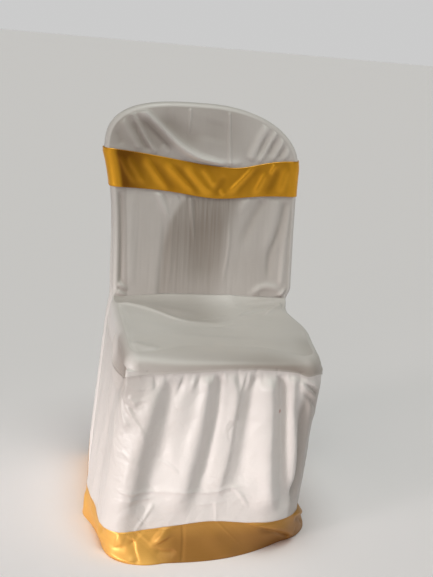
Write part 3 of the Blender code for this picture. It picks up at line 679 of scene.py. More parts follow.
SEAT_OUTLINE = Outline(
    ((-0.2045, 0.4985), (-0.2090, -0.004), (0.2020, -0.004), (0.2065, 0.4985)),
    (BACK_ROUND, 0.030, 0.040, BACK_ROUND),
    (0.0, 0.005, 0.004, 0.0),
)
SEAM_OUTLINE = Outline(
    ((-0.2100, 0.4990), (-0.2080, -0.006), (0.2110, -0.004), (0.2130, 0.4990)),
    (BACK_ROUND, 0.035, 0.045, BACK_ROUND),
    (0.0, 0.007, 0.004, 0.004),
)
BORDER_OUTLINE = Outline(
    ((-0.2310, 0.5000), (-0.2380, -0.022), (0.1960, -0.018), (0.2260, 0.5000)),
    (BACK_ROUND, 0.055, 0.105, BACK_ROUND),
    (0.0, 0.010, 0.0, 0.012),
)
HEM_OUTLINE = Outline(
    ((-0.2300, 0.5030), (-0.2280, -0.093), (0.2350, 0.064), (0.2360, 0.5030)),
    (BACK_ROUND, 0.125, 0.075, BACK_ROUND),
    (0.0, 0.014, 0.026, 0.006),
)

# How much of the skirt's folds runs on into the border
CARRY = 0.5

# How much cloth there is along each stretch of the lower cover, as its share of columns
Stretches = tuple[tuple[str, int], ...]
SIDE_SHARE, CORNER_SHARE, FRONT_SHARE = 5, 3, 11
SKIRT_STRETCHES = (
    ("left_front", SIDE_SHARE),
    ("front_left", CORNER_SHARE),
    ("front", FRONT_SHARE),
    ("front_right", CORNER_SHARE),
    ("right_front", SIDE_SHARE),
)
REAR_STRETCHES = (("right_rear", 4), ("rear_right", 1), ("rear", 9), ("rear_left", 1), ("left_rear", 4))


def distance_round(place: Sequence[float]) -> float:
    """How far round the cover a place lies from the middle of the front."""
    x, y = place
    off_front = max(smooth((abs(x) - 0.12) / 0.06), smooth((y - 0.12) / 0.06))
    return float(x + math.copysign(max(y, 0.0) * off_front, x))


def seam_height(across: float) -> float:
    """The seat's lower seam: it rises to the right of the front and dips at the sides."""
    front = 0.017 * bump(across, 0.06, 0.16) - 0.006 * bump(across, 0.170, 0.018)
    sides = 0.034 * bump(across, -0.29, 0.07) + 0.026 * bump(across, 0.34, 0.08)
    return float(SEAM_Z + front - sides)


def border_height(across: float) -> float:
    """The top of the hem border: lower at the left of the front, where it spreads, higher at the right."""
    right = 0.013 * bump(across, 0.05, 0.10) + 0.006 * bump(across, 0.20, 0.07)
    return float(BORDER_Z - 0.009 * bump(across, -0.20, 0.09) + right)


class Column:
    """One column of the lower cover's cloth, from the seat down to the floor."""

    def __init__(self, stretch: str, t: float, side_shift: float = 0.0) -> None:
        """Finds the column's place on each outline.

        Args:
            stretch: the stretch of the outlines that it is on.
            t: how far along the stretch it is.
            side_shift: how far the side seams are moved to the rear.
        """
        upper_seam = SEAT_DEPTH + SIDE_SEAM_FOOT + side_shift
        lower_seam = SIDE_SEAM_HEM_Y + side_shift
        self.seat, self.seam = (o.point(stretch, t, upper_seam) for o in (SEAT_OUTLINE, SEAM_OUTLINE))
        self.border, self.hem = (o.point(stretch, t, lower_seam) for o in (BORDER_OUTLINE, HEM_OUTLINE))
        self.across = distance_round(self.seam)
        self.seam_z = seam_height(self.across)
        self.border_z = border_height(self.across)
        step = 0.01
        run = SEAM_OUTLINE.point(stretch, min(t + step, 1.0), upper_seam)
        run = run - SEAM_OUTLINE.point(stretch, max(t - step, 0.0), upper_seam)
        self.outward = Vector((run.y, -run.x)).normalized()
        self.seat += self.outward * 0.012 * bump(distance_round(self.seat), 0.400, 0.080)
        self.border += self.outward * 0.009 * bump(distance_round(self.border), -0.410, 0.090)
        self.hem += self.outward * 0.009 * bump(distance_round(self.hem), -0.410, 0.090)
        self.hem += self.outward * 0.011 * bump(distance_round(self.hem), -0.425, 0.045)

    def plan(self, z: float) -> Vector:
        """Where the column is in plan at this height, without its folds.

        Args:
            z: the height.

        Returns:
            The place (x, y).
        """
        if z >= self.seam_z:
            return mix(self.seat, self.seam, min(max((EDGE_Z - z) / (EDGE_Z - self.seam_z), 0.0), 1.0))
        if z >= self.border_z:
            return mix(self.seam, self.border, (self.seam_z - z) / (self.seam_z - self.border_z))
        down = 1.0 - z / self.border_z
        bulge = 0.008 * (bump(self.across, 0.13, 0.09) - 0.3 * bump(self.across, -0.15, 0.10))
        return mix(self.border, self.hem, down) + self.outward * bulge * math.sin(math.pi * down)


def stations_of(stretches: Stretches, fineness: int = 1, closed: bool = False) -> list[tuple[str, float]]:
    """Divides stretches into stations.

    Args:
        stretches: their names and shares.
        fineness: how many stations a share of 1 has.
        closed: whether the last stretch runs into the first.

    Returns:
        Pairs of a stretch and how far along it the station lies.
    """
    counts = [(name, share * fineness) for name, share in stretches]
    found = [(name, i / count) for name, count in counts for i in range(count)]
    return found if closed else found + [(stretches[-1][0], 1.0)]


def columns_of(stretches: Stretches, fineness: int, side_shift: float, closed: bool = False) -> list[Column]:
    """The columns of a panel at the stations of its stretches."""
    return [Column(name, t, side_shift) for name, t in stations_of(stretches, fineness, closed)]


def rounds_of(plan: np.ndarray) -> np.ndarray:
    """How far round the cover each place of a plan lies."""
    return np.array([[distance_round(place) for place in row] for row in plan])


def lifted(columns: list[Column], plan: np.ndarray, level: np.ndarray, lift: np.ndarray) -> np.ndarray:
    """The places (x, y, z) of the columns' cloth, once its folds lift it off its plan and height."""
    outward = np.array([column.outward for column in columns])
    return np.concatenate([plan + outward[None] * lift[..., None], level[..., None]], axis=2)


# ---------------------------------------------------------------- sheets


class Held(Enum):
    """How a sheet is held."""

    HUNG = "hung"
    GATHERED = "gathered"
    STRETCHED = "stretched"


@dataclass
class Dress:
    """What the vertices of a sheet carry for its finish.

    cloth is their place on the flat cloth, as (u, v) in metres. tint, from 0 to 1, is how dark they are
    painted: partly the chair showing through, partly painted shade. marks are their distances from the first
    seam, the second seam and a speck, in metres.
    """

    cloth: np.ndarray
    tint: np.ndarray
    marks: np.ndarray | None = None


def grid_sheet(points: np.ndarray, dress: Dress, closed: bool = False) -> Mesh:
    """Makes a grid of cloth.

    Args:
        points: the places of its vertices, as rows of columns of (x, y, z).
        dress: what they carry.
        closed: whether its last column meets its first.

    Returns:
        The sheet.
    """
    rows, columns = points.shape[0] - 1, points.shape[1] - 1
    marks = np.ones(points.shape) if dress.marks is None else dress.marks
    bm = bmesh.new()
    cloth_of = bm.verts.layers.float_vector.new("cloth")
    marks_of = bm.verts.layers.float_vector.new("marks")
    tint_of = bm.verts.layers.float.new("tint")
    bmesh.ops.create_grid(bm, x_segments=columns, y_segments=rows, size=0.5)
    for vert in bm.verts:
        at = round((vert.co.y + 0.5) * rows), round((vert.co.x + 0.5) * columns)
        vert.co = points[at]
        vert[cloth_of] = (*dress.cloth[at], 0.0)
        vert[marks_of] = marks[at]
        vert[tint_of] = dress.tint[at]
    lay_out_uv(bm)
    if closed:
        bmesh.ops.remove_doubles(bm, verts=bm.verts, dist=1e-5)
    return bm


def lay_out_uv(bm: Mesh) -> None:
    """Gives each face corner of a sheet its place on the flat cloth as its UV."""
    cloth_of = bm.verts.layers.float_vector["cloth"]
    uv_of = bm.loops.layers.uv.verify()
    for face in bm.faces:
        for loop in face.loops:
            loop[uv_of].uv = loop.vert[cloth_of][:2]


def rim_sheet(plate: np.ndarray, band: np.ndarray, dress: Dress, band_tint: np.ndarray) -> Mesh:
    """Makes a plate of cloth that runs on over its left side, top and right side.

    Args:
        plate: the places of its vertices, as rows of columns of (x, y, z).
        band: the places of each further step of the rim, as steps of stations of (x, y, z).
        dress: what the plate's vertices carry.
        band_tint: the tint of each step of the rim, as steps of stations.

    Returns:
        The sheet.
    """
    bm = grid_sheet(plate, dress)
    station_of = bm.verts.layers.int.new("station")
    tint_of = bm.verts.layers.float["tint"]
    cloth_of = bm.verts.layers.float_vector["cloth"]
    bm.verts.ensure_lookup_table()
    order = np.arange(plate.shape[0] * plate.shape[1]).reshape(plate.shape[:2])
    ring = [bm.verts[i] for i in np.concatenate([order[:, 0], order[-1, 1:-1], order[::-1, -1]]).tolist()]
    for i, vert in enumerate(ring):
        vert[station_of] = i
    edges = [bm.edges.get(pair) for pair in zip(ring, ring[1:])]
    rim = np.array([vert.co for vert in ring])
    start = np.array([vert[cloth_of][:2] for vert in ring])
    away = unit(start - start[len(ring) // 2] * (1.0, 0.5))
    passed = np.zeros(len(ring))
    for places, tints in zip(band, band_tint):
        passed += np.linalg.norm(places - rim, axis=1)
        rim = places
        made = bmesh.ops.extrude_edge_only(bm, edges=edges)["geom"]
        edges = [part for part in made if isinstance(part, bmesh.types.BMEdge)]
        for vert in (part for part in made if isinstance(part, bmesh.types.BMVert)):
            i = vert[station_of]
            vert.co = places[i]
            vert[cloth_of] = (*(start[i] + away[i] * passed[i]), 0.0)
            vert[tint_of] = tints[i]
    lay_out_uv(bm)
    return bm


def piece_of(name: str, bm: Mesh, material: Material) -> bpy.types.Object:
    """Turns a finished mesh into a piece.

    Args:
        name: the piece's name.
        bm: its mesh, which is used up.
        material: its finish.

    Returns:
        The piece, on the scene's list.
    """
    bmesh.ops.recalc_face_normals(bm, faces=bm.faces)
    mesh = bpy.data.meshes.new(name)
    bm.to_mesh(mesh)
    bm.free()
    mesh.shade_smooth()
    mesh.materials.append(material)
    piece = bpy.data.objects.new(name, mesh)
    bpy.context.scene.collection.objects.link(piece)
    LOG.info("%s: %d faces", name, len(mesh.polygons))
    return piece


@dataclass
class Panel:
    """One panel of the cover, as a thin sheet of satin."""

    name: str
    node: str
    slot: str
    flat: Place
    held: Held
    area: float | None = None
    stitched: list[np.ndarray] = field(default_factory=list)

    def shape(self) -> Mesh:
        """The panel's sheet, in the chair's frame. Each kind of panel has its own."""
        raise NotImplementedError

    def build(self, shift: Vector, material: Material) -> None:
        """Args:
            shift: the way from the chair's frame to the row's frame.
            material: the satin that it is cut from.
        """
        bm = self.shape()
        bmesh.ops.translate(bm, verts=bm.verts, vec=shift)
        piece = piece_of(self.name, bm, material)
        thickness = piece.modifiers.new("cloth", "SOLIDIFY")
        thickness.thickness = CLOTH
        thickness.offset = 0.0
        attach(piece, "root")
        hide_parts(self.node)
        if self.stitched:
            Stitches(f"{self.name}_stitches", self.slot, self.stitched).build(shift)


@dataclass
class Stitches:
    """Rows of machine stitches on a panel, each stitch a short, thin bead of thread."""

    name: str
    slot: str
    lines: list[np.ndarray]
    pitch: float = 0.0042
    length: float = 0.0030
    thread: float = 0.0007

    def build(self, shift: Vector) -> bpy.types.Object:
        """Makes all rows as one piece.

        Args:
            shift: the way from the chair's frame to the row's frame.

        Returns:
            The piece.
        """
        bm = bmesh.new()
        sizes = Matrix.Diagonal((self.length, self.thread, self.thread, 1.0))
        for line in self.lines:
            count = int(lengths_along(line)[-1] / self.pitch)
            places = resample(line, (np.arange(count + 1) + 0.5) / (count + 1))
            for place, heading in zip(places, unit(np.gradient(places, axis=0))):
                outward = Vector((heading[1], -heading[0], 0.0)).normalized()
                along = Vector(heading)
                turn = Matrix((along, outward, along.cross(outward))).transposed().to_4x4()
                where = Matrix.Translation(Vector(place) + shift + outward * (CLOTH / 2 + self.thread / 4))
                bmesh.ops.create_icosphere(bm, subdivisions=1, radius=0.5, matrix=where @ turn @ sizes)
        piece = piece_of(self.name, bm, THREADS[self.slot].material())
        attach(piece, "root")
        return piece


# ---------------------------------------------------------------- the panels


@dataclass
class BackFront(Panel):
    """The front of the back, turned over the sides and the top as far as the side seam."""

    rows: int = 170
    columns: int = 176
    round_steps: int = 6
    round_size: float = 0.011
    # painted shade of the folds: how much lighter the ridges and darker the troughs are painted per metre of
    # lift
    fold_shade: float = 34.0
    rim_tint: float = 0.12
    relief: Relief = BACK_RELIEF

    def shape(self) -> Mesh:
        """The plate with its folds, and the rounded rim."""
        stations, outward = back_stations(self.rows, self.columns)
        size = np.minimum(self.round_size, side_seam(stations[:, 1]) - SEAM_GAP)
        rim = stations - outward * size[:, None]
        rim[0, 1] = rim[-1, 1] = FOOT_Z
        flat = plate_in(rim, self.rows, self.columns)
        x, z = flat[..., 0], flat[..., 1]
        lift = self.relief.heights(flat) * self.hold(x, z) * faded(x.shape, 3.0)
        plate = np.stack([x, front_y(z) - lift, z], axis=2)
        band = []
        for turn in np.arange(1, self.round_steps + 1) * (math.pi / 2 / self.round_steps):
            place = stations - outward * (size * (1.0 - math.sin(turn)))[:, None]
            y = front_y(place[:, 1]) + size * (1.0 - math.cos(turn))
            band.append(np.stack([place[:, 0], y, place[:, 1]], axis=1))
        seam = front_y(stations[:, 1]) + side_seam(stations[:, 1]) - SEAM_GAP / 2
        band.append(np.stack([stations[:, 0], seam, stations[:, 1]], axis=1))
        # Painted shade: the troughs of the folds are painted darker and their ridges lighter, by how far they
        # lift the cloth.
        tint = np.clip(self.show_through_and_shade(x, z) - self.fold_shade * lift, 0.0, 1.0)
        band_tint = np.full((len(band), len(stations)), self.rim_tint)
        return rim_sheet(plate, np.array(band), Dress(flat - (0.0, SEAT_TOP), tint), band_tint)

    @staticmethod
    def hold(x: np.ndarray, z: np.ndarray) -> np.ndarray:
        """The sash presses the folds under it flat."""
        low, high = sash_edges(x)
        return smooth((np.maximum(low - z, z - high) - 0.001) / 0.012) * 0.97 + 0.03

    @staticmethod
    def show_through_and_shade(x: np.ndarray, z: np.ndarray) -> np.ndarray:
        """How dark the cloth is painted: greyer all over and darker in the middle, where the chair shows
        through the thin cloth, with painted shade in the hollow beside the left rail and in a patch under the
        wide fold at the upper left.

        Args:
            x: how far across each place lies.
            z: how high it lies.

        Returns:
            Shares from 0 to 1.
        """
        heights = (0.45, 0.50, 0.57, 0.62, 0.65, 0.69)
        left = np.interp(z, heights, (-0.098, -0.095, -0.090, -0.080, -0.066, -0.042))
        right = np.interp(z, (0.45, 0.49, 0.60, 0.64, 0.69), (0.040, 0.050, 0.066, 0.074, 0.090))
        places = np.stack([x, z], axis=-1)
        streaks = 0.34 * cloudy(places, (0.0045, 0.35), 3.0) + 0.22 * cloudy(places, (0.0020, 0.20), 4.0)
        strength = mix(0.30, 0.62, smooth((z - 0.440) / 0.17))
        centre = smooth((x - left + 0.008) / 0.020) * smooth((right + 0.020 - x) / 0.046) * strength
        deepest = 0.15 * bump(x, 0.022, 0.030) * bump(z, 0.650, 0.050)
        centre = (centre + deepest) * (1.0 + streaks)
        # Painted shade in the hollow beside the chair's left rail: a dark strip with a sharp right edge.
        edge = np.interp(z, (0.47, 0.54, 0.60, 0.69), (-0.171, -0.175, -0.178, -0.183))
        rail_hollow_shade = smooth((x - edge + 0.026) / 0.016) * smooth((edge + 0.001 - x) / 0.002)
        low = 0.34 + 0.68 * centre + 0.18 * rail_hollow_shade + 0.05 * smooth((x - 0.09) / 0.06)
        field_top = smooth((0.130 - x) / 0.070) * smooth((z - 0.775) / 0.030)
        # Above the sash the field is darker, with painted shade in the patch under the wide fold at the upper
        # left.
        high = 0.30 + 0.14 * field_top + 0.26 * bump(x, -0.150, 0.075) * smooth((0.880 - z) / 0.040)
        return np.clip(np.where(z > 0.74, high, low), 0.0, 1.0)


@dataclass
class BackRear(Panel):
    """The rear panel, from the top of the back to the hem border, turned forward to the side seams."""

    back_rows: int = 90
    lower_rows: int = 60
    columns: int = 108
    round_steps: int = 4
    relief: Relief = REAR_RELIEF

    def shape(self) -> Mesh:
        """The long plate and its turned edges."""
        stations, outward = back_stations(self.back_rows, self.columns)
        rim = stations - outward * BACK_ROUND
        rim[0, 1] = rim[-1, 1] = FOOT_Z
        flat = plate_in(rim, self.back_rows, self.columns)
        upper = np.stack([flat[..., 0], rear_y(flat[..., 1]), flat[..., 1]], axis=2)

        corner, edge = self.round_steps, self.round_steps + 1
        stretches = (("right_rear", 1), ("rear_right", corner), ("rear", self.columns))
        stretches += (("rear_left", corner), ("left_rear", 1))
        columns = columns_of(stretches, 1, SEAM_GAP / 2)
        heights = np.linspace(BORDER_Z - 0.001, EDGE_Z, self.lower_rows)
        lower = np.array([[(*column.plan(z), z) for column in columns] for z in heights])[:, ::-1]
        plate = np.vstack([lower[:, edge : edge + self.columns + 1], upper])

        steps = []
        for step in range(1, edge + 1):
            turn = math.pi / 2 * step / corner
            place = stations - outward * BACK_ROUND * (1.0 - math.sin(turn))
            y = rear_y(place[:, 1]) - BACK_ROUND * (1.0 - math.cos(turn))
            if step == edge:
                place = stations
                y = front_y(stations[:, 1]) + side_seam(stations[:, 1]) + SEAM_GAP / 2
            over = np.stack([place[:, 0], y, place[:, 1]], axis=1)
            right_side = lower[:, edge + self.columns + step][::-1]
            steps.append(np.vstack([lower[:, edge - step], over, right_side]))
        places = plate[..., [0, 2]]
        plate[..., 1] += self.relief.heights(places) * faded(places.shape, 6.0)
        dress = Dress(places, np.zeros(places.shape[:2]))
        return rim_sheet(plate, np.array(steps), dress, np.zeros((len(steps), len(steps[0]))))


@dataclass
class Seat(Panel):
    """The top of the seat, turned down at the front and the sides to the skirt's seam."""

    fineness: int = 18
    round_steps: int = 12
    drop_steps: int = 13
    corner_round: float = 0.030
    front_round: float = 0.068
    front_fall: float = 0.034
    least_drop: float = 0.006
    relief: Relief = SEAT_RELIEF
    drop_relief: Relief = DROP_RELIEF

    def shape(self) -> Mesh:
        """The top with its folds, and the sides that turn down."""
        columns = columns_of(SKIRT_STRETCHES, self.fineness, -SEAM_GAP / 2)
        rows = SIDE_SHARE * self.fineness + CORNER_SHARE * self.fineness // 2
        across = len(columns) - 1 - 2 * rows
        seat = np.array([column.seat for column in columns])
        seam = np.array([column.seam for column in columns])
        outward = np.array([column.outward for column in columns])
        around = np.array([column.across for column in columns])
        seam_z = np.array([column.seam_z for column in columns])
        size = mix(SEAT_ROUND, SEAT_ROUND_REAR, smooth((seat[:, 1] - SEAT_DEPTH + 0.06) / 0.05))
        size = mix(size, self.corner_round, smooth((0.05 - seat[:, 1]) / 0.05))
        front = smooth((0.05 - seat[:, 1]) / 0.05) * smooth((0.172 - np.abs(seat[:, 0])) / 0.100)
        fall = mix(size, self.front_fall, front)
        size = mix(size, self.front_round, front)
        meets_rear = smooth((seat[:, 1] - SEAT_DEPTH + 0.040) / 0.040)
        foot = np.where(seat[:, 0] < 0.0, -LEFT.foot, RIGHT.foot)
        to_foot = np.outer(meets_rear * (foot - seat[:, 0]), (1.0, 0.0))
        rim = seat + to_foot - outward * size[:, None]
        flat = plate_in(rim, rows, across)
        x, y = flat[..., 0], flat[..., 1]
        top = self.top_z(x, y) + self.relief.heights(flat) * faded(x.shape, 5.0)
        rim_top = self.top_z(rim[:, 0], rim[:, 1])
        fall = np.minimum(fall, rim_top - seam_z - self.least_drop)
        slope_step = 0.001
        ahead = rim + slope_step * outward
        first = np.arctan2(rim_top - self.top_z(ahead[:, 0], ahead[:, 1]), slope_step)
        start = mix(rim_top, EDGE_Z, meets_rear)
        band = []
        for step in range(1, self.round_steps + self.drop_steps + 1):
            turn = mix(first, math.pi / 2, min(step / self.round_steps, 1.0))
            share = max(step - self.round_steps, 0) / self.drop_steps
            z = mix(rim_top - fall * (1.0 - np.cos(turn) / np.cos(first)), seam_z, share)
            out = -size * (1.0 - np.sin(turn)) / (1.0 - np.sin(first))
            if share > 0.0:
                out = self.drop_relief.heights(np.stack([around, z], axis=1)) * smooth(5.0 * share)
                out += 0.0008 * smooth(1.0 - (z - seam_z) / 0.008)
            down = np.maximum((start - z) / (start - seam_z), 0.0)[:, None]
            raised = np.clip((z - EDGE_Z) / (FOOT_Z - EDGE_Z), 0.0, 1.0)[:, None]
            place = mix(seat, seam, down) + to_foot * raised + outward * out[:, None]
            band.append(np.column_stack([place, z]))
        self.stitched = [band[-2]]
        plate = np.stack([x, y, top], axis=2)
        return rim_sheet(plate, np.array(band), Dress(flat, self.top_shade_and_show_through(x, y)), self.drop_shade_and_show_through(around))

    @staticmethod
    def top_shade_and_show_through(x: np.ndarray, y: np.ndarray) -> np.ndarray:
        """How dark the top is painted: a little for the chair showing through, more behind the long crease
        and at the rear right, with painted shade at the right front corner and painted highlight towards the
        left and along the left edge.

        Args:
            x: how far across each place lies.
            y: how far back it lies.

        Returns:
            Shares from 0 to 1.
        """
        across = (-0.203, -0.137, -0.092, -0.049, 0.010, 0.080)
        crease = np.interp(x, across, (0.335, 0.301, 0.237, 0.202, 0.195, 0.240))
        # Painted highlight: lighter towards the left of the front half.
        tint = 0.12 - 0.10 * smooth((-0.020 - x) / 0.100) * smooth((0.300 - y) / 0.050)
        tint += 0.36 * smooth((y - crease) / 0.016) * smooth((0.075 - x) / 0.110)
        tint += 0.16 * smooth((y - 0.300) / 0.060) * smooth((x - 0.060) / 0.080)
        # Painted highlight along the left edge.
        tint -= 0.12 * smooth((-0.178 - x) / 0.016) * smooth((0.330 - y) / 0.020)
        tint += 0.06 * smooth((0.130 - y) / 0.080)
        # Painted shade at the right front corner, where the cloth turns away from the lamp.
        tint += 0.22 * bump(x, 0.190, 0.030) * smooth((0.150 - y) / 0.070)
        return np.clip(tint, 0.0, 1.0)

    def drop_shade_and_show_through(self, around: np.ndarray) -> np.ndarray:
        """How dark the rim is painted: partly the chair showing through, mostly painted shade where the cloth
        turns down away from the lamp, deepest in the pocket beside the left corner and towards the right.

        Args:
            around: how far round the cover each station lies.

        Returns:
            Shares from 0 to 1, as steps of stations.
        """
        step = np.arange(1, self.round_steps + self.drop_steps + 1)[:, None]
        turned = smooth(step / self.round_steps)
        down = smooth((step - 1.1 * self.round_steps) / (0.6 * self.drop_steps))
        places = (-0.400, -0.350, -0.325, -0.265, -0.235, -0.213, -0.196, -0.176)
        places += (0.000, 0.090, 0.140, 0.190, 0.240, 0.400)
        # Painted shade: deepest in the left corner's pocket and towards the right, none on the lit lip.
        at_edge = (0.1, 0.3, 0.8, 0.9, 0.85, 0.2, 0.0, 0.42, 0.66, 0.82, 0.90, 0.78, 0.6, 0.45)
        at_foot = (0.1, 0.2, 0.6, 0.9, 0.85, 0.1, 0.0, 0.34, 0.46, 0.60, 0.76, 0.70, 0.45, 0.3)
        edge, foot = np.interp(around, places, at_edge), np.interp(around, places, at_foot)
        return mix(0.18, mix(edge, foot, down), turned)

    @staticmethod
    def top_z(x: np.ndarray, y: np.ndarray) -> np.ndarray:
        """The top of the seat, which the taut cloth leaves a little before it meets the back.

        Args:
            x: how far across each place lies.
            y: how far back it lies.

        Returns:
            The heights, in metres.
        """
        level = SEAT_TOP - SEAT_FRONT_DROP * np.maximum(1.0 - y / SEAT_DEPTH, 0.0) ** 2
        level = level - 0.60 * np.maximum(0.145 - y, 0.0) ** 2
        behind = np.maximum(y - SEAT_DEPTH + 0.045, 0.0) / 0.045
        ramp = 0.004 + 0.010 * smooth((x + 0.20) / 0.14)
        return level + ramp * behind**2


@dataclass
class Skirt(Panel):
    """The gathered skirt, from the seat's seam to the border, round the front and both sides.

    Its felled seams are given by their heights and by how far round the cover they lie there.
    """

    fineness: int = 14
    rows: int = 122
    foot_overlap: float = 0.001
    head_overlap: float = 0.002
    tuck: float = 0.0012
    front_seam: tuple[Place, ...] = ((0.13, -0.300), (0.197, -0.310), (0.256, -0.333), (0.298, -0.370))
    rear_seam: tuple[Place, ...] = ((0.065, -0.455), (0.133, -0.460), (0.196, -0.480), (0.260, -0.520))
    speck: Place = (0.119, 0.316)
    relief: Relief = SKIRT_RELIEF

    def shape(self) -> Mesh:
        """The gathered sheet. Its upper edge is tucked behind the seat's."""
        columns = columns_of(SKIRT_STRETCHES, self.fineness, -SEAM_GAP / 2)
        up = np.linspace(0.0, 1.0, self.rows + 1)
        foot = np.array([column.border_z for column in columns]) - self.foot_overlap
        head = np.array([column.seam_z for column in columns]) + self.head_overlap
        level = mix(foot, head, up[:, None])
        plan = np.array([[c.plan(min(z, c.seam_z)) for c, z in zip(columns, row)] for row in level])
        around = rounds_of(plan)
        places = np.stack([around, level], axis=2)
        tucked = smooth((1.0 - up) / 0.085)[:, None]
        edge = np.minimum(np.arange(len(columns)), np.arange(len(columns))[::-1]) / 8.0
        lift = self.relief.heights(places) * tucked
        lift *= smooth(edge) * mix(CARRY, 1.0, smooth(up / 0.25))[:, None]
        seam = np.array([[column.across, column.seam_z] for column in columns])
        lift += DROP_RELIEF.heights(seam) * smooth((up - 0.80) / 0.20)[:, None]
        lift -= self.tuck * (1.0 - tucked)
        # Painted shade: the right end, turned away from the lamp; the top of the left corner, under the
        # seat's pocket; and a little at the left of the front, which the lamp lights most.
        right = smooth((around - 0.158) / 0.018) * smooth((0.340 - around) / 0.080)
        right = right * smooth((0.385 - level) / 0.030)
        left = bump(around, -0.255, 0.060) * smooth((level - 0.300) / 0.060)
        tint = 0.50 * right + 0.30 * left + 0.20 * smooth((-0.130 - around) / 0.050)
        return grid_sheet(lifted(columns, plan, level, lift), Dress(places, tint, self.marks(around, level)))

    def marks(self, around: np.ndarray, level: np.ndarray) -> np.ndarray:
        """The distances from the two felled seams of the left side and from the speck.

        Args:
            around: how far round the cover each place lies.
            level: how high it lies.

        Returns:
            The three distances, on a last axis.
        """
        seams = [around - np.interp(level, *zip(*seam)) for seam in (self.front_seam, self.rear_seam)]
        x, z = self.speck
        return np.stack([*seams, np.hypot(around - x, (level - z) * 0.6)], axis=2)


@dataclass
class Border(Panel):
    """The border all round the hem, which spreads on the floor at the left of the front."""

    fineness: int = 15
    rows: int = 38
    relief: Relief = BORDER_RELIEF

    def shape(self) -> Mesh:
        """The closed ring of cloth, flat on the floor."""
        columns = columns_of(SKIRT_STRETCHES + REAR_STRETCHES, self.fineness, 0.0, True)
        up = np.linspace(0.0, 1.0, self.rows + 1)
        level = np.array([[column.border_z * share + CLOTH / 2 for column in columns] for share in up])
        plan = np.array([[column.plan(column.border_z * share) for column in columns] for share in up])
        around = rounds_of(plan)
        places = np.stack([around, level], axis=2)
        front = smooth((0.40 - plan[..., 1]) / 0.10)
        ends = smooth(up / 0.10) * smooth((1.0 - up) / 0.08)
        lift = self.relief.heights(places) * front * ends[:, None]
        station = np.arange(len(columns))
        end = self.fineness * sum(share for _, share in SKIRT_STRETCHES)
        edge = smooth(np.minimum(station, np.abs(end - station)) / 8.0) * (station <= end)
        lift += CARRY * SKIRT_RELIEF.heights(places[-1]) * edge * smooth((up - 0.15) / 0.85)[:, None]
        lift -= 0.0011 * smooth((up - 0.95) / 0.05)[:, None]
        points = lifted(columns, plan, level, lift)
        points = np.concatenate([points, points[:, :1]], axis=1)
        run = lengths_along(np.vstack([plan[-1], plan[-1][:1]]))
        cloth = np.stack(np.broadcast_arrays(run[None, :], level[:, :1]), axis=2)
        # Painted shade: the front of the border is darker from the left of the front round to the right, away
        # from the lamp, and less so towards its top.
        tint = smooth((around + 0.150) / 0.070) * mix(1.0, 0.65, smooth((up - 0.5) / 0.5))[:, None]
        tint = np.concatenate([0.80 * tint * front, np.zeros((len(up), 1))], axis=1)
        self.stitched = [points[-4]]
        return grid_sheet(points, Dress(cloth, tint), closed=True)


def sash_edges(x: Any) -> tuple[Any, Any]:
    """The heights of the sash's lower and upper edges at the front. It sags where it was tied."""
    low = 0.698 - 0.014 * bump(x, 0.020, 0.10)
    sag = np.where(x < 0.060, bump(x, 0.060, 0.19), bump(x, 0.060, 0.09))
    return low, 0.785 - 0.012 * x - 0.027 * sag


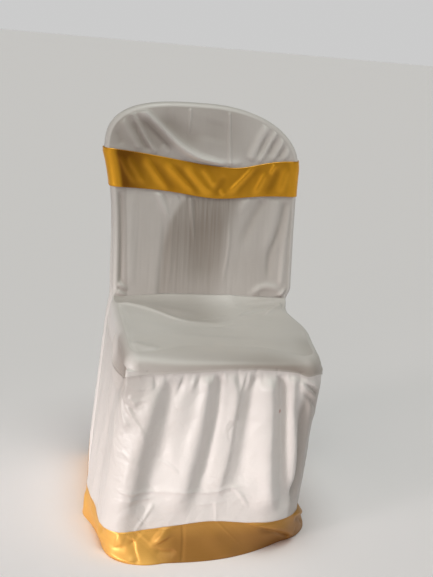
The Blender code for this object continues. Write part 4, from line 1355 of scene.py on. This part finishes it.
@dataclass
class Sash(Panel):
    """The sash, a closed band drawn round the back, with slanting folds at the front."""

    rows: int = 44
    clearance: float = 0.0032
    top_z: float = 0.785
    bottom_z: float = 0.698
    wide: float = 0.09
    depth: float = 0.0022
    relief: Relief = SASH_RELIEF
    front_stretches: Stretches = (("left_front", 2), ("front_left", 14), ("front", 210), ("front_right", 14))
    rear_stretches: Stretches = (("right_front", 2), ("rear_right", 10), ("rear", 90), ("rear_left", 10))

    def outline(self, z: float) -> Outline:
        """The outline of the sash round the back at this height.

        Args:
            z: the height.

        Returns:
            The outline.
        """
        left, right = -LEFT.width(z) - self.clearance, RIGHT.width(z) + self.clearance
        front = front_y(z) - self.clearance / math.cos(RECLINE)
        rear = float(rear_y(z)) + self.clearance
        corners = ((left, rear), (left, front), (right, front), (right, rear))
        return Outline(corners, (BACK_ROUND + self.clearance,) * len(corners))

    def shape(self) -> Mesh:
        """The closed ring of cloth, hemmed along both edges."""
        middle_y = mix(front_y(self.top_z), float(rear_y(self.top_z)), 0.5)
        stations = stations_of(self.front_stretches + self.rear_stretches, closed=True)
        stations.append(("left_front", 0.0))
        up = np.linspace(0.0, 1.0, self.rows + 1)
        ring = np.array([self.outline(self.top_z).point(name, t, middle_y) for name, t in stations])
        columns = []
        for (name, t), (x, y) in zip(stations, ring):
            at_rear = smooth((y - front_y(self.top_z)) / SLEEVE_DEPTH)
            low, high = sash_edges(x)
            low, high = mix(float(low), self.bottom_z, at_rear), mix(float(high), self.top_z, at_rear)
            columns.append([(*self.outline(z).point(name, t, middle_y), z) for z in mix(low, high, up)])
        grid = np.array(columns).transpose(1, 0, 2)
        places = grid[..., [0, 2]]
        at_front = np.array([(name == "front") * smooth(min(t, 1.0 - t) / 0.03) for name, t in stations])
        up = up[:, None]
        hem = smooth(np.minimum(up, 1.0 - up) / 0.08)
        folds = self.relief.heights(places)
        folds = self.depth * (np.log1p(np.exp(folds / self.depth)) - 0.5)
        grid[..., 1] -= folds * at_front * mix(0.45, 1.0, hem)
        # Painted shade: darker at the left end and in the troughs of the folds.
        tint = 0.02 + self.left_hollow_shade(places[..., 0]) + 0.85 * smooth((0.0022 - folds) / 0.0050)
        cloth = np.stack(np.broadcast_arrays(lengths_along(ring), up * self.wide), axis=2)
        self.stitched = [grid[1], grid[-2]]
        return grid_sheet(grid, Dress(cloth, np.clip(tint, 0.0, 1.0) * at_front), closed=True)

    @staticmethod
    def left_hollow_shade(x: np.ndarray) -> np.ndarray:
        """Painted shade: the sash is darker at the left, where it lies in the hollow beside the chair's rail.
        """
        return 0.90 * smooth((x + 0.234) / 0.008) * smooth((-0.100 - x) / 0.110)


# ---------------------------------------------------------------- finishes


class Wire:
    """A number on its way through a material's nodes. Arithmetic on it adds Math nodes."""

    def __init__(self, nodes: "Nodes", socket: bpy.types.NodeSocket) -> None:
        """Wraps an output socket."""
        self.nodes = nodes
        self.socket = socket

    def _do(self, operation: str, a: Any, b: Any = 0.0) -> "Wire":
        """The result of one Math node."""
        return self.nodes.add("ShaderNodeMath", {"operation": operation}, {0: a, 1: b})

    def __add__(self, other: Any) -> "Wire":
        """Sum."""
        return self._do("ADD", self, other)

    __radd__ = __add__

    def __sub__(self, other: Any) -> "Wire":
        """Difference."""
        return self._do("SUBTRACT", self, other)

    def __rsub__(self, other: Any) -> "Wire":
        """Difference, the other way round."""
        return self._do("SUBTRACT", other, self)

    def __mul__(self, other: Any) -> "Wire":
        """Product."""
        return self._do("MULTIPLY", self, other)

    __rmul__ = __mul__

    def magnitude(self) -> "Wire":
        """The number without its sign."""
        return self._do("ABSOLUTE", self)

    def clamped(self) -> "Wire":
        """The same number, kept between 0 and 1."""
        return self.nodes.add("ShaderNodeClamp", {}, {"Value": self})


class Nodes:
    """The node tree of a material, or of the world."""

    def __init__(self, owner: Material | bpy.types.World, shader: str = "Principled BSDF") -> None:
        """Starts from the owner's shader."""
        owner.use_nodes = True
        self.tree = owner.node_tree
        self.shader = self.tree.nodes[shader]

    def add(self, kind: str, settings: dict[str, Any], inputs: dict[Any, Any], output: Any = 0) -> Wire:
        """Adds a node.

        Args:
            kind: the node's type.
            settings: its properties, set before its sockets.
            inputs: values or wires by socket name or number.
            output: the name or number of the output that is wanted.

        Returns:
            That output.
        """
        node = self.tree.nodes.new(kind)
        for name, value in settings.items():
            setattr(node, name, value)
        for key, value in inputs.items():
            self.feed(node.inputs[key], value)
        return Wire(self, node.outputs[output])

    def feed(self, socket: bpy.types.NodeSocket, value: Any) -> None:
        """Links a wire to a socket, or sets the socket's own value."""
        if isinstance(value, Wire):
            self.tree.links.new(value.socket, socket)
        else:
            socket.default_value = value

    def finish(self, **values: Any) -> None:
        """Feeds the shader's sockets, named with _ for a space."""
        for name, value in values.items():
            self.feed(self.shader.inputs[name.replace("_", " ")], value)

    def attribute(self, name: str, output: str) -> Wire:
        """One of the mesh's attributes."""
        return self.add("ShaderNodeAttribute", {"attribute_name": name}, {}, output=output)

    def axis(self, triple: Wire, name: str) -> Wire:
        """One axis of three numbers."""
        return self.add("ShaderNodeSeparateXYZ", {}, {0: triple}, output=name)

    def blend(self, factor: Any, a: Any, b: Any) -> Wire:
        """A colour between a and b."""
        settings = {"data_type": "RGBA", "clamp_factor": True}
        return self.add("ShaderNodeMix", settings, {0: factor, 6: a, 7: b}, output=2)

    def noise(
        self, where: Wire, scale: float, detail: float, stretch: Triple = (1.0, 1.0, 1.0), wander: float = 0.0
    ) -> Wire:
        """Adds noise.

        Args:
            where: the place that it is read at.
            scale: how fine it is.
            detail: how many finer layers it has.
            stretch: the scale along each axis.
            wander: how much its lumps are bent.

        Returns:
            Values from 0 to 1.
        """
        place = self.add("ShaderNodeMapping", {}, {"Vector": where, "Scale": stretch})
        sizes = {"Vector": place, "Scale": scale, "Detail": detail, "Distortion": wander}
        return self.add("ShaderNodeTexNoise", {}, sizes)


def rgba(colour: Triple) -> tuple[float, float, float, float]:
    """A colour for a socket."""
    return (*colour, 1.0)


@dataclass(frozen=True)
class Satin:
    """A satin: its colour, its warm colour, a dark colour for painted shade, show-through and seam grooves,
    how its weave shows and how it shines.
    """

    name: str
    colour: Triple
    warm: Triple
    shade_and_seam_colour: Triple
    roughness: float
    slub: float
    weave: float
    metallic: float
    sheen: float
    specular: float
    creases: bool = False
    spread: float = 0.10
    weave_scale: float = 1400.0
    slub_scale: float = 500.0
    slub_stretch: Triple = (0.06, 1.0, 1.0)
    seam_width: float = 0.0016
    speck_size: float = 0.0035
    speck_colour: Triple = (0.45, 0.10, 0.09)

    @staticmethod
    def near(distance: Wire, reach: float) -> Wire:
        """A soft line or spot, 1 where the distance is 0 and nothing beyond its reach."""
        return (1.0 - distance.magnitude() * (1.0 / reach)).clamped()

    @staticmethod
    def creased(nodes: Nodes, cloth: Wire, from_seam: Wire) -> Wire:
        """Pressed creases between flat facets, deepest near the felled seams.

        Args:
            nodes: the material's nodes.
            cloth: the place on the flat cloth.
            from_seam: the distance from the first felled seam.

        Returns:
            Their height, in millimetres.
        """
        share = (1.0 - (from_seam - 0.16) * 4.0).clamped() * 0.75 + 0.25
        some = ((nodes.noise(cloth, 9.0, 1.0) - 0.40) * 5.0).clamped()
        wide = (nodes.noise(cloth, 15.0, 1.5, (1.0, 0.8, 1.0), 0.3) - 0.5).magnitude()
        small = (nodes.noise(cloth, 42.0, 1.5, (0.8, 1.0, 1.0), 0.5) - 0.5).magnitude()
        return (wide * 7.5 + small * 3.2 * some) * share

    def material(self) -> Material:
        """The finish as a material: colour that drifts, slubs in the weave and a soft, broken shine."""
        material = bpy.data.materials.new(self.name)
        nodes = Nodes(material)
        cloth = nodes.add("ShaderNodeTexCoord", {}, {}, output="UV")
        drift = nodes.noise(cloth, 9.0, 3.0)
        slub = nodes.noise(cloth, self.slub_scale, 2.0, self.slub_stretch)
        thread = nodes.noise(cloth, self.weave_scale, 1.0)
        marks = nodes.attribute("marks", "Vector")
        first, second, speck = (nodes.axis(marks, name) for name in "XYZ")
        groove = self.near(first, self.seam_width) + self.near(second, self.seam_width)
        shade = (drift - 0.5) * 1.6 + (slub - 0.5) * 0.5 + 0.5
        base = nodes.blend(shade.clamped(), rgba(self.colour), rgba(self.warm))
        # The tint attribute mixes in the dark colour: the chair showing through and painted shade.
        base = nodes.blend(nodes.attribute("tint", "Fac"), base, rgba(self.shade_and_seam_colour))
        base = nodes.blend(groove * 0.35, base, rgba(self.shade_and_seam_colour))
        base = nodes.blend(self.near(speck, self.speck_size), base, rgba(self.speck_colour))
        rough = (slub - 0.5) * self.spread + (drift - 0.5) * self.spread + self.roughness
        height = slub * self.slub + thread * self.weave - groove * 0.5
        if self.creases:
            height = height + self.creased(nodes, cloth, first)
        relief = {"Height": height, "Strength": 1.0, "Distance": 0.001}
        nodes.finish(
            Base_Color=base,
            Roughness=rough.clamped(),
            Normal=nodes.add("ShaderNodeBump", {}, relief, output="Normal"),
            Metallic=self.metallic,
            Sheen_Weight=self.sheen,
            Sheen_Roughness=0.4,
            Specular_IOR_Level=self.specular,
        )
        return material


WHITE_SATIN = Satin(
    "white_satin", (0.76, 0.718, 0.698), (0.72, 0.675, 0.65), (0.27, 0.220, 0.185),
    roughness=0.42, slub=0.14, weave=0.06, metallic=0.0, sheen=0.10, specular=0.65,
)
CREASED_SATIN = replace(WHITE_SATIN, name="white_satin_creased", roughness=0.43, creases=True)
SASH_SATIN = Satin(
    "gold_satin", (0.90, 0.440, 0.026), (0.80, 0.36, 0.018), (0.24, 0.090, 0.002),
    roughness=0.37, slub=0.10, weave=0.05, metallic=0.60, sheen=0.0, specular=0.40,
)
HEM_SATIN = Satin(
    "gold_satin_hem", (0.80, 0.435, 0.100), (0.72, 0.365, 0.065), (0.25, 0.105, 0.018),
    roughness=0.47, slub=0.10, weave=0.05, metallic=0.35, sheen=0.0, specular=0.55,
)


@dataclass(frozen=True)
class Thread:
    """Sewing thread: its colour, and a darker one that it drifts towards."""

    name: str
    colour: Triple
    dark: Triple

    def material(self) -> Material:
        """The finish as a material."""
        material = bpy.data.materials.new(self.name)
        nodes = Nodes(material)
        drift = nodes.noise(nodes.add("ShaderNodeTexCoord", {}, {}, output="Object"), 240.0, 2.0)
        colour = nodes.blend(drift, rgba(self.colour), rgba(self.dark))
        nodes.finish(Base_Color=colour, Roughness=drift * 0.2 + 0.4)
        return material


THREADS = {
    "white_satin": Thread("white_thread", (0.78, 0.74, 0.71), (0.60, 0.56, 0.52)),
    "gold_satin": Thread("gold_thread", (0.52, 0.24, 0.03), (0.30, 0.12, 0.01)),
}


# ---------------------------------------------------------------- the studio


def compass(yaw: float, pitch: float) -> Vector:
    """The direction that looks yaw to the right of straight back, and pitch up."""
    level = math.cos(pitch)
    return Vector((math.sin(yaw) * level, math.cos(yaw) * level, math.sin(pitch)))


def add_light(name: str, kind: str, aim: Vector, **settings: Any) -> bpy.types.Object:
    """Adds a light.

    Args:
        name: its name.
        kind: its type.
        aim: the way that it shines.
        settings: its other properties.

    Returns:
        The light, at the origin.
    """
    data = bpy.data.lights.new(name, kind)
    for key, value in settings.items():
        setattr(data, key, value)
    light = bpy.data.objects.new(name, data)
    light.rotation_euler = aim.to_track_quat("-Z", "Y").to_euler()
    bpy.context.scene.collection.objects.link(light)
    return light


@dataclass(frozen=True)
class Lamp:
    """A soft lamp, placed and aimed in the chair's frame. Its spread is in degrees."""

    name: str
    place: Triple
    target: Triple
    size: Place
    power: float
    colour: Triple
    spread: float

    def build(self, shift: Vector) -> None:
        """Adds the lamp.

        Args:
            shift: the way from the chair's frame to the row's frame.
        """
        beam = {"shape": "RECTANGLE", "size": self.size[0], "size_y": self.size[1]}
        beam["spread"] = math.radians(self.spread)
        aim = Vector(self.target) - Vector(self.place)
        lamp = add_light(self.name, "AREA", aim, energy=self.power, color=self.colour, **beam)
        lamp.location = Vector(self.place) + shift
        lamp.visible_camera = False


@dataclass(frozen=True)
class Sky:
    """Even, soft light from one side of the sky. Its heading is in degrees, from the front to the right."""

    name: str
    heading: float
    elevation: float
    strength: float
    colour: Triple
    softness: float = 36.0

    def build(self) -> None:
        """Adds the light."""
        aim = compass(-math.radians(self.heading), -math.radians(self.elevation))
        softness = math.radians(self.softness)
        add_light(self.name, "SUN", aim, energy=self.strength, angle=softness, color=self.colour)


@dataclass
class Studio:
    """The pale floor, the soft lamps and the camera, with the camera's turns in degrees."""

    floor_size: float = 400.0
    floor_colour: Triple = (0.95, 0.90, 0.93)
    horizon: Triple = (0.60, 0.60, 0.60)
    dome: Triple = (0.105, 0.095, 0.085)
    eye: Triple = (-0.41301, -1.89502, 1.03786)
    yaw: float = 11.246
    pitch: float = -13.579
    roll: float = -4.967
    lens: float = 62.72
    skies: tuple[Sky, ...] = (
        Sky("overhead", -5.0, 77.0, 1.45, (0.91, 1.0, 0.94)),
        Sky("front", -42.0, 30.0, 0.33, (1.0, 0.86, 0.76)),
    )
    low_key: Lamp = Lamp(
        "low_key",
        place=(-2.50, -1.55, 0.24),
        target=(0.12, 0.0, 0.04),
        size=(1.60, 0.60),
        power=2.85,
        colour=(1.0, 0.93, 0.915),
        spread=20.0,
    )

    def build(self, shift: Vector) -> None:
        """Sets the studio up round the cover.

        Args:
            shift: the way from the chair's frame to the row's frame.
        """
        self.floor()
        self.world()
        for sky in self.skies:
            sky.build()
        self.low_key.build(shift)
        self.camera(shift)
        bpy.context.scene.view_settings.view_transform = "Standard"

    def floor(self) -> None:
        """A wide, plain, pale floor."""
        bm = bmesh.new()
        bmesh.ops.create_grid(bm, x_segments=1, y_segments=1, size=self.floor_size)
        material = bpy.data.materials.new("studio_floor")
        Nodes(material).finish(Base_Color=rgba(self.floor_colour), Roughness=1.0, Specular_IOR_Level=0.0)
        piece_of("floor", bm, material)

    def world(self) -> None:
        """Dim light from all round, and a pale horizon that the floor runs into."""
        world = bpy.data.worlds.new("studio")
        nodes = Nodes(world, "Background")
        height = nodes.axis(nodes.add("ShaderNodeTexCoord", {}, {}, output="Generated"), "Z")
        limits = {"Value": height, "From Min": 0.05, "From Max": 0.40}
        above = nodes.add("ShaderNodeMapRange", {"interpolation_type": "SMOOTHSTEP"}, limits)
        nodes.finish(Color=nodes.blend(above, rgba(self.horizon), rgba(self.dome)))
        bpy.context.scene.world = world

    def camera(self, shift: Vector) -> None:
        """The camera, turned by its yaw, pitch and roll.

        Args:
            shift: the way from the chair's frame to the row's frame.
        """
        yaw, roll = math.radians(self.yaw), math.radians(self.roll)
        forward = compass(yaw, math.radians(self.pitch))
        level = Vector((math.cos(yaw), -math.sin(yaw), 0.0))
        upright = level.cross(forward)
        right = level * math.cos(roll) - upright * math.sin(roll)
        up = level * math.sin(roll) + upright * math.cos(roll)
        data = bpy.data.cameras.new("camera")
        data.lens = self.lens
        data.sensor_width = 36.0
        camera = bpy.data.objects.new("camera", data)
        turn = Matrix((right, up, -forward)).transposed()
        camera.matrix_world = Matrix.Translation(Vector(self.eye) + shift) @ turn.to_4x4()
        bpy.context.scene.collection.objects.link(camera)
        bpy.context.scene.camera = camera


# ---------------------------------------------------------------- all together


def frame_shift() -> Vector:
    """The way from the chair's frame to the row's frame, from the boxes of two solids."""
    low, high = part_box("back_front_panel")
    middle = (low.x + high.x) / 2 - (RIGHT.shoulder - LEFT.shoulder) / 2
    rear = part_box("seat_panel")[1].y
    return Vector((middle, rear - SEAT_DEPTH - SIDE_SEAM_FOOT + SEAM_GAP, 0.0))


def main() -> None:
    """Builds the cover's panels and the studio in order."""
    logging.basicConfig(level=logging.INFO)
    shift = frame_shift()
    white = WHITE_SATIN.material()
    creased = CREASED_SATIN.material()
    sash_gold = SASH_SATIN.material()
    hem_gold = HEM_SATIN.material()
    slot = "white_satin"
    gold = "gold_satin"
    panels = (
        (BackFront("back_front", "back_front_panel", slot, (0.54, 0.52), Held.STRETCHED, 0.23), white),
        (BackRear("back_rear", "back_rear_panel", slot, (0.64, 0.88), Held.HUNG, 0.50), white),
        (Seat("seat_top", "seat_panel", slot, (0.54, 0.47), Held.STRETCHED, 0.22), white),
        (Skirt("skirt_gathers", "skirt", slot, (1.10, 0.34), Held.GATHERED), creased),
        (Border("hem_band", "hem_border", gold, (2.0, 0.09), Held.HUNG), hem_gold),
        (Sash("sash_band", "sash", gold, (1.05, 0.09), Held.STRETCHED), sash_gold),
    )
    for panel, satin in panels:
        panel.build(shift, satin)
    Studio().build(shift)


if __name__ == "__main__":
    main()
